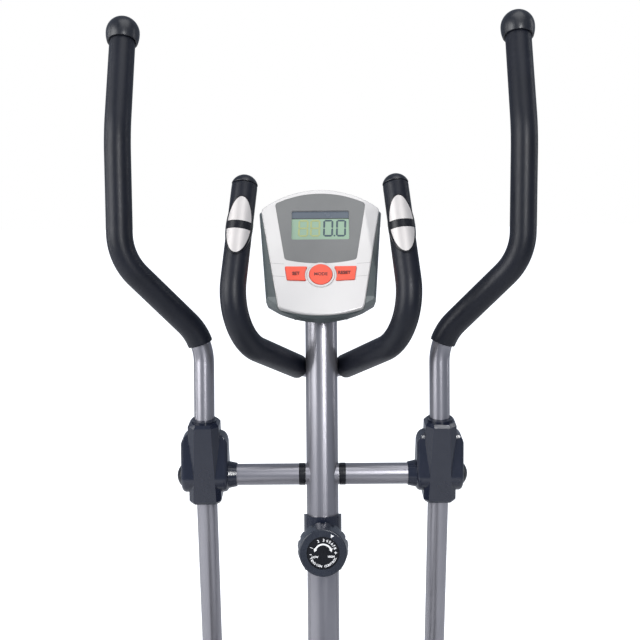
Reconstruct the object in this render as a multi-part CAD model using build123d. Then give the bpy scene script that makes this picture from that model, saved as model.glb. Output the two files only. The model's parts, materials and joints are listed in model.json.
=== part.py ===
"""Rear-drive magnetic elliptical trainer: a welded frame on two stabilisers, a mast that leans away from
the user, two swinging handlebars on one cross axle, pedal bars, a crankset and a belt-driven flywheel.

Units are millimetres. +Z is up, +X is the user's right and +Y is the way that the user faces. The origin is on
the floor, under the middle of the machine's length and width.
"""
from build123d import *
from math import atan2, cos, degrees, hypot, radians, sin, sqrt, tan
import os

OUT = "parts"
SIDES = {"left": -1, "right": 1}

# ---- running fits and gaps -------------------------------------------------------------------------------
running_gap = 0.06      # radial, a shaft in its bush
slide_gap = 0.2         # radial, a tube in a tube
face_gap = 0.3          # between faces of bodies that move past each other

# ---- overall ----------------------------------------------------------------------------------------------
overall_length = 1300.0
axle_height = 880.0     # of the cross axle that the handlebars swing on
mast_lean = 8.0         # degrees from upright, away from the user

# ---- stabilisers and feet ---------------------------------------------------------------------------------
stabiliser_r = 25.0
stabiliser_wall = 2.0
stabiliser_length = 480.0
stabiliser_z = 36.0
foot_cap_wall = 4.0
foot_cap_length = 62.0
foot_cap_end = 8.0
foot_half_width = 27.0
transport_wheel_r = 25.0
transport_wheel_width = 20.0
transport_wheel_reach = 54.0   # wheel centre ahead of the stabiliser's centre
transport_wheel_lift = 4.0
wheel_pin_r = 4.0
saddle_half_x = 46.0
saddle_half_y = 24.0
stabiliser_bolt_r = 4.0
stabiliser_bolt_x = 34.0

# ---- main beam and drive tower ----------------------------------------------------------------------------
beam_half_width = 20.0
beam_bottom = 62.0
beam_height = 60.0
beam_wall = 2.5
socket_wall = 3.0
socket_length = 150.0
mast_foot_y = 369.0     # where the mast's axis meets the top of the beam

# ---- mast -------------------------------------------------------------------------------------------------
mast_r = 25.4
mast_wall = 2.0
boss_r = 17.0
boss_reach = 1.2        # how far the cross boss stands out of the mast

# ---- swing arms -------------------------------------------------------------------------------------------
arm_x = 186.0
arm_lean = 14.0         # degrees between the lower arm and the mast
arm_length = 623.0      # cross axle to the lower joint
lower_arm_r = 16.5
arm_r = 16.0            # of the upper handlebar
arm_wall = 1.5
rest_swing = 0.9        # degrees: at rest the right arm's top is this far towards the user, the left's away
axle_r = 8.0
sleeve_r = 17.0
sleeve_bore = 15.0
spacer_length = 10.3     # of the inner bushes' flanges, from the mast's boss to the sleeve
bush_flange_r = 17.6
bush_length = 25.0
outer_flange = 3.0
arm_joint_half = 26.0
arm_joint_r = 19.0
arm_joint_bore = 13.0
joint_flange = 1.6
nut_r = 11.0
joint_bolt_r = 6.0

# ---- upper handlebars: points as (x, up the mast from the axle, out towards the user) ---------------------
neck_along = 72.0       # from the axle along the lower arm to the bend inside the pivot cover
elbow = (186.0, 217.0, 19.0)
shoulder = (302.3, 339.7, 94.2)
wrist = (303.7, 525.1, 104.2)
tip = (304.2, 693.0, 56.2)
elbow_bend, shoulder_bend, wrist_bend, neck_bend = 84.8, 88.5, 170.7, 60.0
handlebar_wall = 2.0
spigot_start = 24.0
spigot_end = 62.0
spigot_wall = 2.0
grip_wall = 4.0
grip_start = 150.0      # along the handlebar, from its joint with the lower arm to the foam
ball_r = 26.0
ball_skirt = 17.0
ball_lip_r = 23.2
ball_recess = 5.0
ball_plug = 40.0

# ---- pivot covers (in the arm's own frame) ----------------------------------------------------------------
cover_top_x, cover_half_x = 24.3, 25.5
cover_low, cover_high = 41.0, 91.0
cover_half_out = 27.0
cover_flat_top, cover_flat_low = 13.0, 18.0    # half widths of the flat front panel
cover_shoulder = 5.0
neck_r, neck_height = 19.3, 3.5
cover_wall = 2.5
ear_r, ear_top_r, ear_top = 27.0, 16.0, 60.0
ear_out = 11.5          # how far an ear stands out of the cover's side
collar_r, collar_tip_r, collar_length = 21.8, 18.8, 13.0
ear_round = 7.0
ear_curve = 24.0        # radius of the ear's shoulder, seen from the front
end_cap_r, end_cap_depth = 18.5, 8.5

# ---- fixed handlebar --------------------------------------------------------------------------------------
fixed_r = 14.0
fixed_wall = 2.0
fixed_foam = 5.5
fixed_back_x, fixed_back_up = 28.0, 165.2
fixed_back_gap = 3.6     # between the fixed handlebar's tube and the mast
fixed_bend = (136.2, 223.9, 150.9)
fixed_tip = (113.5, 450.1, 89.2)
fixed_bend_r, fixed_back_bend_r = 84.0, 40.0
fixed_cap_r = 19.6
fixed_cap_height = 14.0
fixed_cap_skirt = 1.5
fixed_grip_start = 43.0  # from the middle of the bar to the foam's start
sensor_centre = 71.0    # of the hand-pulse sensor, back from the tip along the grip
sensor_length, sensor_width = 92.0, 40.0
sensor_wall = 2.6
plate_rim = 2.4
plate_band = 12.5
plate_wall = 0.6
sensor_turn = 1.0       # degrees, of the oval on the right grip
saddle_half_width = 21.0
saddle_half_height = 24.0

# ---- console (x, up the face, out of the face) ------------------------------------------------------------
console_lean = 27.0     # degrees between the face and the mast
console_up, console_out = 353.4, 25.0
front_depth, back_depth = 9.0, 37.0
console_top_x, console_top_y, console_peak = 95.5, 80.0, 118.0
console_foot_x, console_foot_y, console_dip = 66.0, -98.0, -111.0
back_top_x, back_top_y, back_peak = 98.5, 78.0, 116.0
back_side_x, back_side_y = 84.5, -87.0
back_foot_x, back_foot_y, back_dip = 66.0, -99.0, -114.0
cheek_depth, cheek_slope = 1.5, 3.5   # of the side cheeks' front, below the face, and drawn in
face_round = 2.2        # of the front shell's rim
fascia_top_x, fascia_top, fascia_peak = 73.0, 90.7, 110.0
fascia_foot_x, fascia_foot, fascia_dip = 56.4, -14.0, -21.0
board_depth = 12.0
board_posts = ((40.0, 88.0), (30.0, -62.0))
console_wall = 2.4
fascia_depth = 1.6
window_half_x, window_low, window_high = 46.0, 23.0, 77.0
mode_y, mode_r, ring_r = -42.0, 18.0, 22.4
ring_height = 2.0
button_height = 3.0
button_gap = 0.4
plate_thickness = 4.0

# ---- tension control --------------------------------------------------------------------------------------
knob_drop = 108.8       # below the cross axle, along the mast
knob_front_r, knob_back_r = 36.3, 40.0
knob_back, knob_front = 42.0, 75.0
dial_r = 24.7
dial_recess = 4.0
knob_bore = 8.0
tension_saddle_wall = 4.6
tension_saddle_top, tension_saddle_bottom = 45.0, 42.0
knob_ribs = 16

# ---- crankset and pedal bars ------------------------------------------------------------------------------
crank_y, crank_z = -320.0, 310.0
crank_radius = 150.0
crank_inner, crank_outer = 84.0, 98.0
crank_hub_r, crank_end_r = 21.0, 17.0
crank_axle_r = 10.0
bearing_tube_r, bearing_tube_half = 24.0, 30.0
bearing_r = 20.0
bearing_width = 12.0
bar_r = 19.0
bar_wall = 2.0
bar_rear_x = 130.0
bar_sleeve_inner, bar_sleeve_outer = 101.5, 157.0
bar_sleeve_bore = 13.0
crank_pin_r = 8.0
fork_plate = 5.0
fork_gap = 0.6
fork_reach = 62.0
bar_bend_start, bar_bend_end = 190.0, 300.0
pedal_centre = 440.0    # from the front joint, along the bar
pedal_length, pedal_width = 360.0, 124.0
pedal_x = 166.0
pedal_base, pedal_rim = 6.0, 26.0
pedal_rim_wall = 5.0
pedal_lift = 27.0       # underside of the footplate above the bar's axis

# ---- drive ------------------------------------------------------------------------------------------------
pulley_r = 125.0
pulley_low, pulley_high = 33.0, 47.0
belt_thickness, belt_width = 3.0, 10.0
flywheel_y, flywheel_z = -505.0, 262.0
flywheel_r = 110.0
flywheel_low, flywheel_high = -29.0, 1.0
flywheel_hub_r = 24.0
flywheel_pulley_r = 16.0
flywheel_axle_r = 6.0
bracket_left, bracket_right = -44.0, 54.0
bracket_plate = 4.0
idler_r, idler_bolt_r = 20.0, 5.0
casing_half = 68.0
casing_wall = 3.0
casing_round = 14.0
casing_crank_r, casing_wheel_r = 170.0, 138.0
casing_bottom = 98.0
magnet_gap, magnet_wall = 5.0, 5.0
magnet_pin_r = 4.0
magnet_start, magnet_end = 100.0, 150.0
magnet_pivot_angle, magnet_pivot_r = 60.0, 128.0

# ---- worked-out places ------------------------------------------------------------------------------------
boss_half = mast_r + boss_reach
bush_flange_start = boss_half + face_gap
sleeve_start = bush_flange_start + spacer_length
fixed_back = (fixed_back_x, fixed_back_up, -(mast_r + fixed_r + fixed_back_gap))
beam_top = beam_bottom + beam_height
axle_y = mast_foot_y + tan(radians(mast_lean)) * (axle_height - beam_top)
stabiliser_front_y = overall_length / 2 - transport_wheel_reach - transport_wheel_r
stabiliser_rear_y = -overall_length / 2 + foot_half_width
sleeve_end = arm_x + cover_half_x + 2.0
lean = radians(mast_lean)


def on_mast(x, up, out):
    """A point beside the mast: x to the right, up the mast from the cross axle, out towards the user."""
    y = axle_y + up * sin(lean) - out * cos(lean)
    return Vector(x, y, axle_height + up * cos(lean) + out * sin(lean))


def mast_plane(x, up, out, z_dir):
    """A plane at such a point. z_dir is "up" for along the mast or "out" for towards the user."""
    up_dir, out_dir = Vector(0, sin(lean), cos(lean)), Vector(0, -cos(lean), sin(lean))
    return Plane(on_mast(x, up, out), x_dir=(1, 0, 0), z_dir=up_dir if z_dir == "up" else out_dir)


def x_rod(r, x0, x1, y, z):
    """A round bar along X."""
    return Pos((x0 + x1) / 2, y, z) * Rot(0, 90, 0) * Cylinder(r, abs(x1 - x0))


def x_tube(r, bore, x0, x1, y, z):
    return x_rod(r, x0, x1, y, z) - x_rod(bore, min(x0, x1) - 1, max(x0, x1) + 1, y, z)


def block(x0, x1, y0, y1, z0, z1):
    return Pos((x0 + x1) / 2, (y0 + y1) / 2, (z0 + z1) / 2) * Box(x1 - x0, y1 - y0, z1 - z0)


def pipe(path, r, bore=0.0):
    """A round tube, or a bar if bore is 0, swept along a path."""
    section = Circle(r) - Circle(bore) if bore else Circle(r)
    return sweep(Plane(path @ 0, z_dir=path % 0) * section, path=path)


def hull(*shapes):
    """The outline of a tight loop round flat shapes."""
    return make_hull([edge for shape in shapes for edge in shape.edges()])


def save(name, *solids):
    made = [s for group in solids for s in group.solids()]
    export_step(made[0] if len(made) == 1 else Compound(children=made), f"{OUT}/{name}.step")


def mirrored(shape):
    return mirror(shape, about=Plane.YZ)


# ==== swing arms ===========================================================================================
def swung(shape, side):
    """Turns an arm from mid-stroke to its rest place about the cross axle."""
    centre = Vector(0, axle_y, axle_height)
    return Pos(centre) * Rot(rest_swing * side, 0, 0) * Pos(-centre) * shape


def on_arm(x, along, out=0.0):
    """A point in the arm's own frame at mid-stroke: along the lower arm's line, up from the axle."""
    a = radians(arm_lean)
    return on_mast(x, along * cos(a) - out * sin(a), along * sin(a) + out * cos(a))


def arm_plane(x, along, out=0.0):
    """A plane in the arm's frame: its X is the machine's, its Z runs up the arm."""
    return Plane(on_arm(x, along, out), x_dir=(1, 0, 0), z_dir=on_arm(0, 1) - on_arm(0, 0))


def swing_tube():
    """The lower arm: a tube with a cross sleeve at the axle and another at the pedal bar's joint."""
    middle = Pos(0, 0, (spigot_end - arm_length) / 2)
    tube = arm_plane(arm_x, 0) * middle * Cylinder(lower_arm_r, spigot_end + arm_length)
    bore = arm_plane(arm_x, 0) * Pos(0, 0, (spigot_end - arm_length) / 2) * Cylinder(
        lower_arm_r - arm_wall, spigot_end + arm_length + 2)
    sleeve = x_rod(sleeve_r, sleeve_start, sleeve_end, axle_y, axle_height)
    joint = on_arm(arm_x, -arm_length)
    joint_sleeve = x_rod(arm_joint_r, arm_x - arm_joint_half, arm_x + arm_joint_half, joint.Y, joint.Z)
    arm = tube - bore + sleeve + joint_sleeve
    arm -= x_rod(sleeve_bore, sleeve_start - 1, sleeve_end + 1, axle_y, axle_height)
    arm -= x_rod(arm_joint_bore, arm_x - arm_joint_half - 1, arm_x + arm_joint_half + 1, joint.Y, joint.Z)
    return arm


def handlebar_path(start):
    """The upper handlebar's centreline, from a distance up the arm's line to the tip."""
    return FilletPolyline(
        on_arm(arm_x, start), on_arm(arm_x, neck_along), on_mast(*elbow), on_mast(*shoulder), on_mast(*wrist),
        on_mast(*tip), radius=[neck_bend, elbow_bend, shoulder_bend, wrist_bend])


def handlebar():
    """The bent upper tube, with a thinner spigot that pushes into the lower arm."""
    path = handlebar_path(spigot_end)
    upper = pipe(path, arm_r, arm_r - handlebar_wall)
    spigot_r = lower_arm_r - arm_wall - slide_gap
    spigot = arm_plane(arm_x, (spigot_start + spigot_end) / 2 + 2) * (
        Cylinder(spigot_r, spigot_end - spigot_start + 4) - Cylinder(spigot_r - spigot_wall, spigot_end))
    return upper + spigot


def tip_plane():
    """A plane at the handlebar's tip with its Z along the tube."""
    path = handlebar_path(spigot_end)
    return Plane(path @ 1, x_dir=(1, 0, 0), z_dir=path % 1)


def hand_grip():
    """A foam sleeve over the handlebar's upper part."""
    path = handlebar_path(spigot_end)
    end = 1 - (ball_skirt - ball_recess + face_gap) / path.length
    return pipe(path.trim(grip_start / path.length, end), arm_r + grip_wall, arm_r + 0.02)


def ball_cap():
    """A round plastic end: a ball with a skirt over the foam and a plug in the tube."""
    seat = ball_recess - ball_skirt
    plug_r = arm_r - handlebar_wall - slide_gap
    grip_r = arm_r + grip_wall + 0.6
    outline = Polyline(
        (ball_lip_r, -ball_skirt), (grip_r, -ball_skirt), (grip_r, seat), (arm_r + 0.2, seat), (arm_r + 0.2, 0.2),
        (plug_r, 0.2), (plug_r, -ball_plug), (0, -ball_plug), (0, ball_r))
    ball = outline + RadiusArc((ball_r, 0), (0, ball_r), -ball_r) + ThreePointArc(
        (ball_r, 0), ((ball_r + ball_lip_r) / 2 + 0.8, -ball_skirt / 2), (ball_lip_r, -ball_skirt))
    return tip_plane() * revolve(Plane.XZ * make_face(ball.edges()), axis=Axis.Z)


def bush(r, bore, face, inward, depth, flange, flange_r, y, z):
    """A flanged bush in the end of a sleeve: inward is +1 or -1 along X."""
    inner, outer = face + inward * depth, face - inward * flange
    body = x_rod(r, face, inner, y, z) + x_rod(flange_r, face, outer, y, z)
    return body - x_rod(bore, min(inner, outer) - 1, max(inner, outer) + 1, y, z)


def pivot_bushes():
    bore = axle_r + running_gap
    return [
        bush(sleeve_bore - 0.05, bore, sleeve_start, 1, bush_length, sleeve_start - bush_flange_start,
             bush_flange_r, axle_y, axle_height),
        bush(sleeve_bore - 0.05, bore, sleeve_end, -1, bush_length, outer_flange, sleeve_r, axle_y, axle_height)]


def joint_bushes():
    joint = on_arm(arm_x, -arm_length)
    return [bush(arm_joint_bore - 0.05, joint_bolt_r + running_gap, arm_x + s * arm_joint_half, -s, 18.0,
                 joint_flange, arm_joint_r - 2, joint.Y, joint.Z) for s in (-1, 1)]


def cover_section(z, half_x, flat, shrink=0.0):
    """A level section of the cover's block: a flat front panel between two slanting facets."""
    x, front, back = half_x - shrink, -cover_half_out + shrink, cover_half_out - shrink
    facet = half_x - flat
    right = [(flat - shrink / 2, front), (x, front + facet), (x, back - facet), (flat, back)]
    corners = right + [(-px, py) for px, py in reversed(right)]
    return Pos(0, 0, z) * make_face(Polyline(corners, close=True).edges())


def cover_block(shrink=0.0):
    """The block with its ends drawn in; shrink makes the room inside it."""
    low, high = -cover_low + cover_shoulder, cover_high - cover_shoulder
    foot = cover_section(low, cover_half_x, cover_flat_low, shrink)
    shoulder = cover_section(high, cover_top_x, cover_flat_top, shrink)
    foot_end = cover_section(-cover_low + shrink, cover_half_x, cover_flat_low, shrink + 3.0)
    shoulder_end = cover_section(cover_high - shrink, cover_top_x, cover_flat_top, shrink + 3.5)
    return loft([foot_end, foot]) + loft([foot, shoulder]) + loft([shoulder, shoulder_end])


def cover_ears(shrink=0.0):
    """Both ears in one, right through the block: round at the foot, drawn in with a long curve at the top."""
    half, top, foot = cover_half_x + ear_out - shrink, ear_top + ear_top_r - shrink, ear_r - shrink
    side = hull(Circle(foot), Pos(0, ear_top) * Circle(ear_top_r - shrink))
    ears = extrude(Plane.YZ * side, amount=half, both=True)
    ears = fillet(ears.edges().group_by(Axis.X)[0] + ears.edges().group_by(Axis.X)[-1], ear_round - shrink)
    front = Pos(0, (top - foot) / 2) * Rectangle(2 * half, top + foot)
    front = fillet(front.vertices().group_by(Axis.Y)[-1], ear_curve - shrink)
    return ears & extrude(Plane.XZ * front, amount=2 * ear_r, both=True)


def pivot_cover():
    """The clamshell over the arm's pivot, whole: a faceted block, an ear on each side, a collar round the sleeve."""
    shell = cover_block() + Pos(0, 0, cover_high) * Cylinder(neck_r, 2 * neck_height)
    ear_half = cover_half_x + ear_out
    collar = Pos(-ear_half - collar_length / 2 + 0.5, 0, 0) * Rot(0, -90, 0) * Cone(
        collar_r, collar_tip_r, collar_length + 1)
    whole = shell + cover_ears() + collar - cover_ears(cover_wall) - cover_block(cover_wall)
    whole -= Pos(-60, 0, 0) * Rot(0, 90, 0) * Cylinder(sleeve_r + slide_gap, 120)
    whole -= Pos(60, 0, 0) * Rot(0, 90, 0) * Cylinder(nut_r + 3.0, 120)
    whole = arm_plane(arm_x, 0) * whole
    whole -= pipe(handlebar_path(spigot_end), arm_r + slide_gap)
    return whole - arm_plane(arm_x, 0) * Pos(0, 0, -60) * Cylinder(lower_arm_r + slide_gap, 120)


def pivot_cover_halves():
    """The cover's front and rear halves, parted on the plane through the arm's and the axle's lines."""
    whole = pivot_cover()
    seam = Plane(on_arm(arm_x, 0), x_dir=(1, 0, 0), z_dir=on_arm(0, 0, 1) - on_arm(0, 0, 0))
    return split(whole, bisect_by=seam, keep=Keep.TOP), split(whole, bisect_by=seam, keep=Keep.BOTTOM)


def end_dome():
    """The domed cap on the outer ear, hollow over the axle's nut."""
    start, inner_r = arm_x + cover_half_x + ear_out, nut_r + 1.5
    top, roof = start + end_cap_depth, start + end_cap_depth * 0.4
    dome_r = (end_cap_r ** 2 + end_cap_depth ** 2) / (2 * end_cap_depth)
    dome = RadiusArc((start, end_cap_r), (top, 0), dome_r)
    rest = Polyline((top, 0), (roof, 0), (roof, inner_r), (start, inner_r), (start, end_cap_r))
    cap = revolve(make_face([*dome.edges(), *rest.edges()]), axis=Axis.X)
    return Pos(0, axle_y, axle_height) * cap


# ==== lower linkage ========================================================================================
def joint_at(side):
    """The lower joint of an arm at rest, as (y, z)."""
    point = on_arm(0, -arm_length) - Vector(0, axle_y, axle_height)
    a = radians(rest_swing * side)
    return (axle_y + point.Y * cos(a) - point.Z * sin(a), axle_height + point.Y * sin(a) + point.Z * cos(a))


def crank_rest():
    """The left crank pin's offset from the crank's axis that gives both pedal bars one length."""
    (ly, lz), (ry, rz) = joint_at(-1), joint_at(1)
    a, b = (ly - crank_y, lz - crank_z), (ry - crank_y, rz - crank_z)
    total = (a[0] + b[0], a[1] + b[1])
    along = (a[0] ** 2 + a[1] ** 2 - b[0] ** 2 - b[1] ** 2) / 2 / hypot(*total)
    across = sqrt(crank_radius ** 2 - along ** 2)
    u = (total[0] / hypot(*total), total[1] / hypot(*total))
    return (along * u[0] - across * u[1], along * u[1] + across * u[0])


def pin_at(side):
    """A crank pin at rest, as (y, z). The left pin is the high one."""
    p = crank_rest()
    return (crank_y - side * p[0], crank_z - side * p[1])


def bar_plane(side):
    """A pedal bar's own frame: origin on its front joint, Y towards the front, Z up."""
    (fy, fz), (py, pz) = joint_at(side), pin_at(side)
    length = hypot(fy - py, fz - pz)
    forward = Vector(0, (fy - py) / length, (fz - pz) / length)
    return Plane(Vector(0, fy, fz), x_dir=(1, 0, 0), z_dir=Vector(1, 0, 0).cross(forward)), length


def pedal_bar(side):
    """A bent tube with a fork at the swing arm and a sleeve on the crank pin."""
    frame, length = bar_plane(side)
    path = FilletPolyline((bar_rear_x, -length, 0), (bar_rear_x, -bar_bend_end, 0), (arm_x, -bar_bend_start, 0),
                          (arm_x, -fork_reach + 4, 0), radius=90)
    inner, outer = fork_inner(), fork_inner() + fork_plate
    cheek = Plane.YZ * hull(Circle(arm_joint_r), Pos(-fork_reach + 4, 0) * Rectangle(8, 2 * bar_r))
    plates = [Pos(arm_x + s * (inner + outer) / 2, 0, 0) * extrude(cheek,
        amount=fork_plate / 2, both=True) for s in (-1, 1)]
    web = block(arm_x - outer, arm_x + outer, -fork_reach, -fork_reach + 8, -bar_r, bar_r)
    rod = pipe(path, bar_r)
    room = pipe(path, bar_r - bar_wall) - block(arm_x - 60, arm_x + 60, -fork_reach, 0, -60, 60)
    sleeve = x_rod(bar_r + 3, bar_sleeve_inner, bar_sleeve_outer, -length, 0)
    bar = rod + plates[0] + plates[1] + web + sleeve - (room - sleeve)
    bar -= x_rod(bar_sleeve_bore, bar_sleeve_inner - 1, bar_sleeve_outer + 1, -length, 0)
    return frame * (bar - x_rod(joint_bolt_r + slide_gap, arm_x - outer - 1, arm_x + outer + 1, 0, 0))


def fork_inner():
    return arm_joint_half + joint_flange + fork_gap


def joint_bolt(side):
    frame, _ = bar_plane(side)
    reach = fork_inner() + fork_plate
    bolt = x_rod(joint_bolt_r, arm_x - reach - 9, arm_x + reach, 0, 0)
    head = Pos(arm_x + reach + 3, 0, 0) * extrude(Plane.YZ * RegularPolygon(11, 6), amount=3, both=True)
    nut = Pos(arm_x - reach - 4.5, 0, 0) * extrude(Plane.YZ * RegularPolygon(11, 6), amount=4.5, both=True)
    return frame * (bolt + head + nut)


def crank_pin(side):
    """The shouldered pin that joins a pedal bar to its crank, with a round head on the outside."""
    frame, length = bar_plane(side)
    pin = x_rod(crank_pin_r, crank_outer + face_gap, bar_sleeve_outer + 2, -length, 0)
    return frame * (pin + x_rod(bar_r - 1, bar_sleeve_outer + 1.5, bar_sleeve_outer + 7.5, -length, 0))


def crank_pin_bushes(side):
    frame, length = bar_plane(side)
    made = [bush(bar_sleeve_bore, crank_pin_r, face, inward, 20, 1.5, bar_r, -length, 0)
            for face, inward in ((bar_sleeve_inner, 1), (bar_sleeve_outer, -1))]
    return [frame * b for b in made]


def pedal(side):
    """A footplate with a raised rim that is open at the heel."""
    frame, _ = bar_plane(side)
    plate = extrude(RectangleRounded(pedal_width, pedal_length, 26), amount=pedal_rim)
    room = Pos(0, -pedal_length / 4, pedal_base) * extrude(
        RectangleRounded(pedal_width - 2 * pedal_rim_wall, pedal_length * 1.5 - 2 * pedal_rim_wall, 22),
        amount=pedal_rim)
    heel = -pedal_length / 2
    slope = make_face(Polyline((heel - 1, pedal_base + 4), (heel + 220, pedal_rim), (heel + 220, pedal_rim + 9),
                               (heel - 1, pedal_rim + 9), close=True).edges())
    ramp = extrude(Plane.YZ * slope, amount=pedal_width, both=True)
    treads = [Pos(0, y, pedal_base) * Box(pedal_width - 44, 5, 3) for y in range(-130, 131, 20)]
    foot = plate - room - ramp
    for tread in treads:
        foot += tread
    return frame * Pos(pedal_x, -pedal_centre, pedal_lift) * foot


def pedal_brackets(side):
    """Two pressed saddles that carry the footplate over the bar, with a bolt each."""
    frame, _ = bar_plane(side)
    made = []
    for along in (pedal_centre - 110, pedal_centre + 120):
        saddle = block(bar_rear_x - bar_r - 4, pedal_x + 44, -along - 16, -along + 16, 2, pedal_lift)
        saddle -= block(bar_rear_x + bar_r + 4, pedal_x + 60, -along - 20, -along + 20, -40, pedal_lift - 5)
        saddle -= Pos(bar_rear_x, -along, 0) * Rot(90, 0, 0) * Cylinder(bar_r + 0.05, 60)
        made.append(frame * saddle)
    return made


# ==== crankset and drive ===================================================================================
def crank_arm(side):
    (py, pz) = pin_at(side)
    flat = [Pos(crank_y, crank_z) * Circle(crank_hub_r), Pos(py, pz) * Circle(crank_end_r)]
    arm = Pos((crank_inner + crank_outer) / 2, 0, 0) * extrude(
        Plane.YZ * hull(*flat), amount=(crank_outer - crank_inner) / 2, both=True)
    arm = fillet(arm.edges().group_by(Axis.X)[-1], 2.5)
    return arm - x_rod(crank_axle_r, crank_inner - 1, crank_outer + 1, crank_y, crank_z)


def crank_pulley():
    """A wide spoked belt pulley keyed on the crank's axle."""
    mid = (pulley_low + pulley_high) / 2
    rim = x_tube(pulley_r, pulley_r - 10, pulley_low, pulley_high, crank_y, crank_z)
    web = x_rod(pulley_r - 5, mid - 2.5, mid + 2.5, crank_y, crank_z)
    hub = x_rod(22, pulley_low, pulley_high, crank_y, crank_z)
    holes = [x_rod(25, mid - 9, mid + 9, crank_y + 70 * cos(radians(a)), crank_z + 70 * sin(radians(a)))
             for a in range(0, 360, 60)]
    pulley = rim + web + hub - x_rod(crank_axle_r, pulley_low - 1, pulley_high + 1, crank_y, crank_z)
    for hole in holes:
        pulley -= hole
    return pulley


def flywheel():
    """A heavy turned rim on a thin web with a long hub."""
    y, z = flywheel_y, flywheel_z
    mid = (flywheel_low + flywheel_high) / 2
    wheel = x_tube(flywheel_r, flywheel_r - 34, flywheel_low, flywheel_high, y, z)
    wheel += x_rod(flywheel_r - 30, mid - 4, mid + 4, y, z)
    wheel += x_rod(flywheel_hub_r, flywheel_low - 4, flywheel_high, y, z)
    wheel += x_rod(flywheel_pulley_r - 3, flywheel_high - 1, pulley_low, y, z)
    return wheel - x_rod(flywheel_axle_r + running_gap, flywheel_low - 5, pulley_low + 1, y, z)


def small_pulley():
    y, z = flywheel_y, flywheel_z
    body = x_rod(flywheel_pulley_r, pulley_low, pulley_high, y, z)
    return body - x_rod(flywheel_axle_r + running_gap, pulley_low - 1, pulley_high + 1, y, z)


def belt():
    """A ribbed belt round both pulleys, just clear of them."""
    def loop(extra):
        return hull(Pos(crank_y, crank_z) * Circle(pulley_r + extra),
                                     Pos(flywheel_y, flywheel_z) * Circle(flywheel_pulley_r + extra))
    ring = loop(face_gap + belt_thickness) - loop(face_gap)
    mid = (pulley_low + pulley_high) / 2
    return Pos(mid, 0, 0) * extrude(Plane.YZ * ring, amount=belt_width / 2, both=True)


def idler_at():
    """The idler's axis, as (y, z): outside the belt's lower run, just clear of it."""
    dy, dz = flywheel_y - crank_y, flywheel_z - crank_z
    distance = hypot(dy, dz)
    tilt = atan2(dz, dy) + atan2(sqrt(distance ** 2 - (pulley_r - flywheel_pulley_r) ** 2),
                                 pulley_r - flywheel_pulley_r)
    normal = (cos(tilt), sin(tilt))
    reach = 2 * face_gap + belt_thickness + idler_r
    share = 0.52
    return (crank_y + dy * share + normal[0] * (pulley_r + (flywheel_pulley_r - pulley_r) * share + reach),
            crank_z + dz * share + normal[1] * (pulley_r + (flywheel_pulley_r - pulley_r) * share + reach))


def idler_pulley():
    y, z = idler_at()
    body = x_rod(idler_r, pulley_low, pulley_high, y, z)
    return body - x_rod(idler_bolt_r + running_gap, pulley_low - 1, pulley_high + 1, y, z)


def idler_bracket():
    """A bent strap on the beam with the idler's bolt."""
    y, z = idler_at()
    plate_x = pulley_high + 3
    outline = hull(Pos(y, z) * Circle(11), Pos(y, beam_top + 2) * Rectangle(40, 4))
    strap = Pos(plate_x + 2, 0, 0) * extrude(Plane.YZ * outline, amount=2, both=True)
    foot = block(0, plate_x + 4, y - 20, y + 20, beam_top, beam_top + 4)
    bolt = x_rod(idler_bolt_r, pulley_low - 4, plate_x + 2, y, z) + x_rod(9, pulley_low - 8, pulley_low - 1, y, z)
    bolt += x_rod(9, pulley_high + 1, plate_x + 1, y, z)
    return strap + foot + bolt


def magnet_pivot():
    a = radians(magnet_pivot_angle)
    return flywheel_y + magnet_pivot_r * cos(a), flywheel_z + magnet_pivot_r * sin(a)


def magnet_bracket():
    """A curved yoke over the flywheel's rim, hung on a pin beside it."""
    y, z = magnet_pivot()
    inner = flywheel_r + magnet_gap + magnet_wall
    ring = Pos(flywheel_y, flywheel_z) * (Circle(inner + 4) - Circle(inner))
    wedge = Pos(flywheel_y, flywheel_z) * Polygon(
        (0, 0), polar(300, magnet_pivot_angle + 12), polar(300, (magnet_start + magnet_end) / 2),
        polar(300, magnet_end + 4), align=None)
    mid = (flywheel_low + flywheel_high) / 2
    yoke = Pos(mid, 0, 0) * extrude(Plane.YZ * (ring & wedge), amount=14, both=True)
    near = polar(inner + 2, magnet_pivot_angle + 16)
    lug = Pos(mid, 0, 0) * extrude(Plane.YZ * hull(
        Pos(y, z) * Circle(9), Pos(flywheel_y + near[0], flywheel_z + near[1]) * Circle(2.2)), amount=14, both=True)
    return yoke + lug - x_rod(magnet_pin_r + running_gap, -60, 60, y, z)


def polar(r, angle):
    return r * cos(radians(angle)), r * sin(radians(angle))


def magnets():
    """Three blocks under the yoke."""
    mid = (flywheel_low + flywheel_high) / 2
    made = []
    for share in (0.0, 0.5, 1.0):
        angle = magnet_start + share * (magnet_end - magnet_start) - 3
        y, z = polar(flywheel_r + magnet_gap + magnet_wall / 2, angle)
        made.append(Pos(mid, flywheel_y + y, flywheel_z + z) * Rot(angle - 90, 0, 0) * Box(24, 18, magnet_wall - 0.6))
    return made


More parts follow.
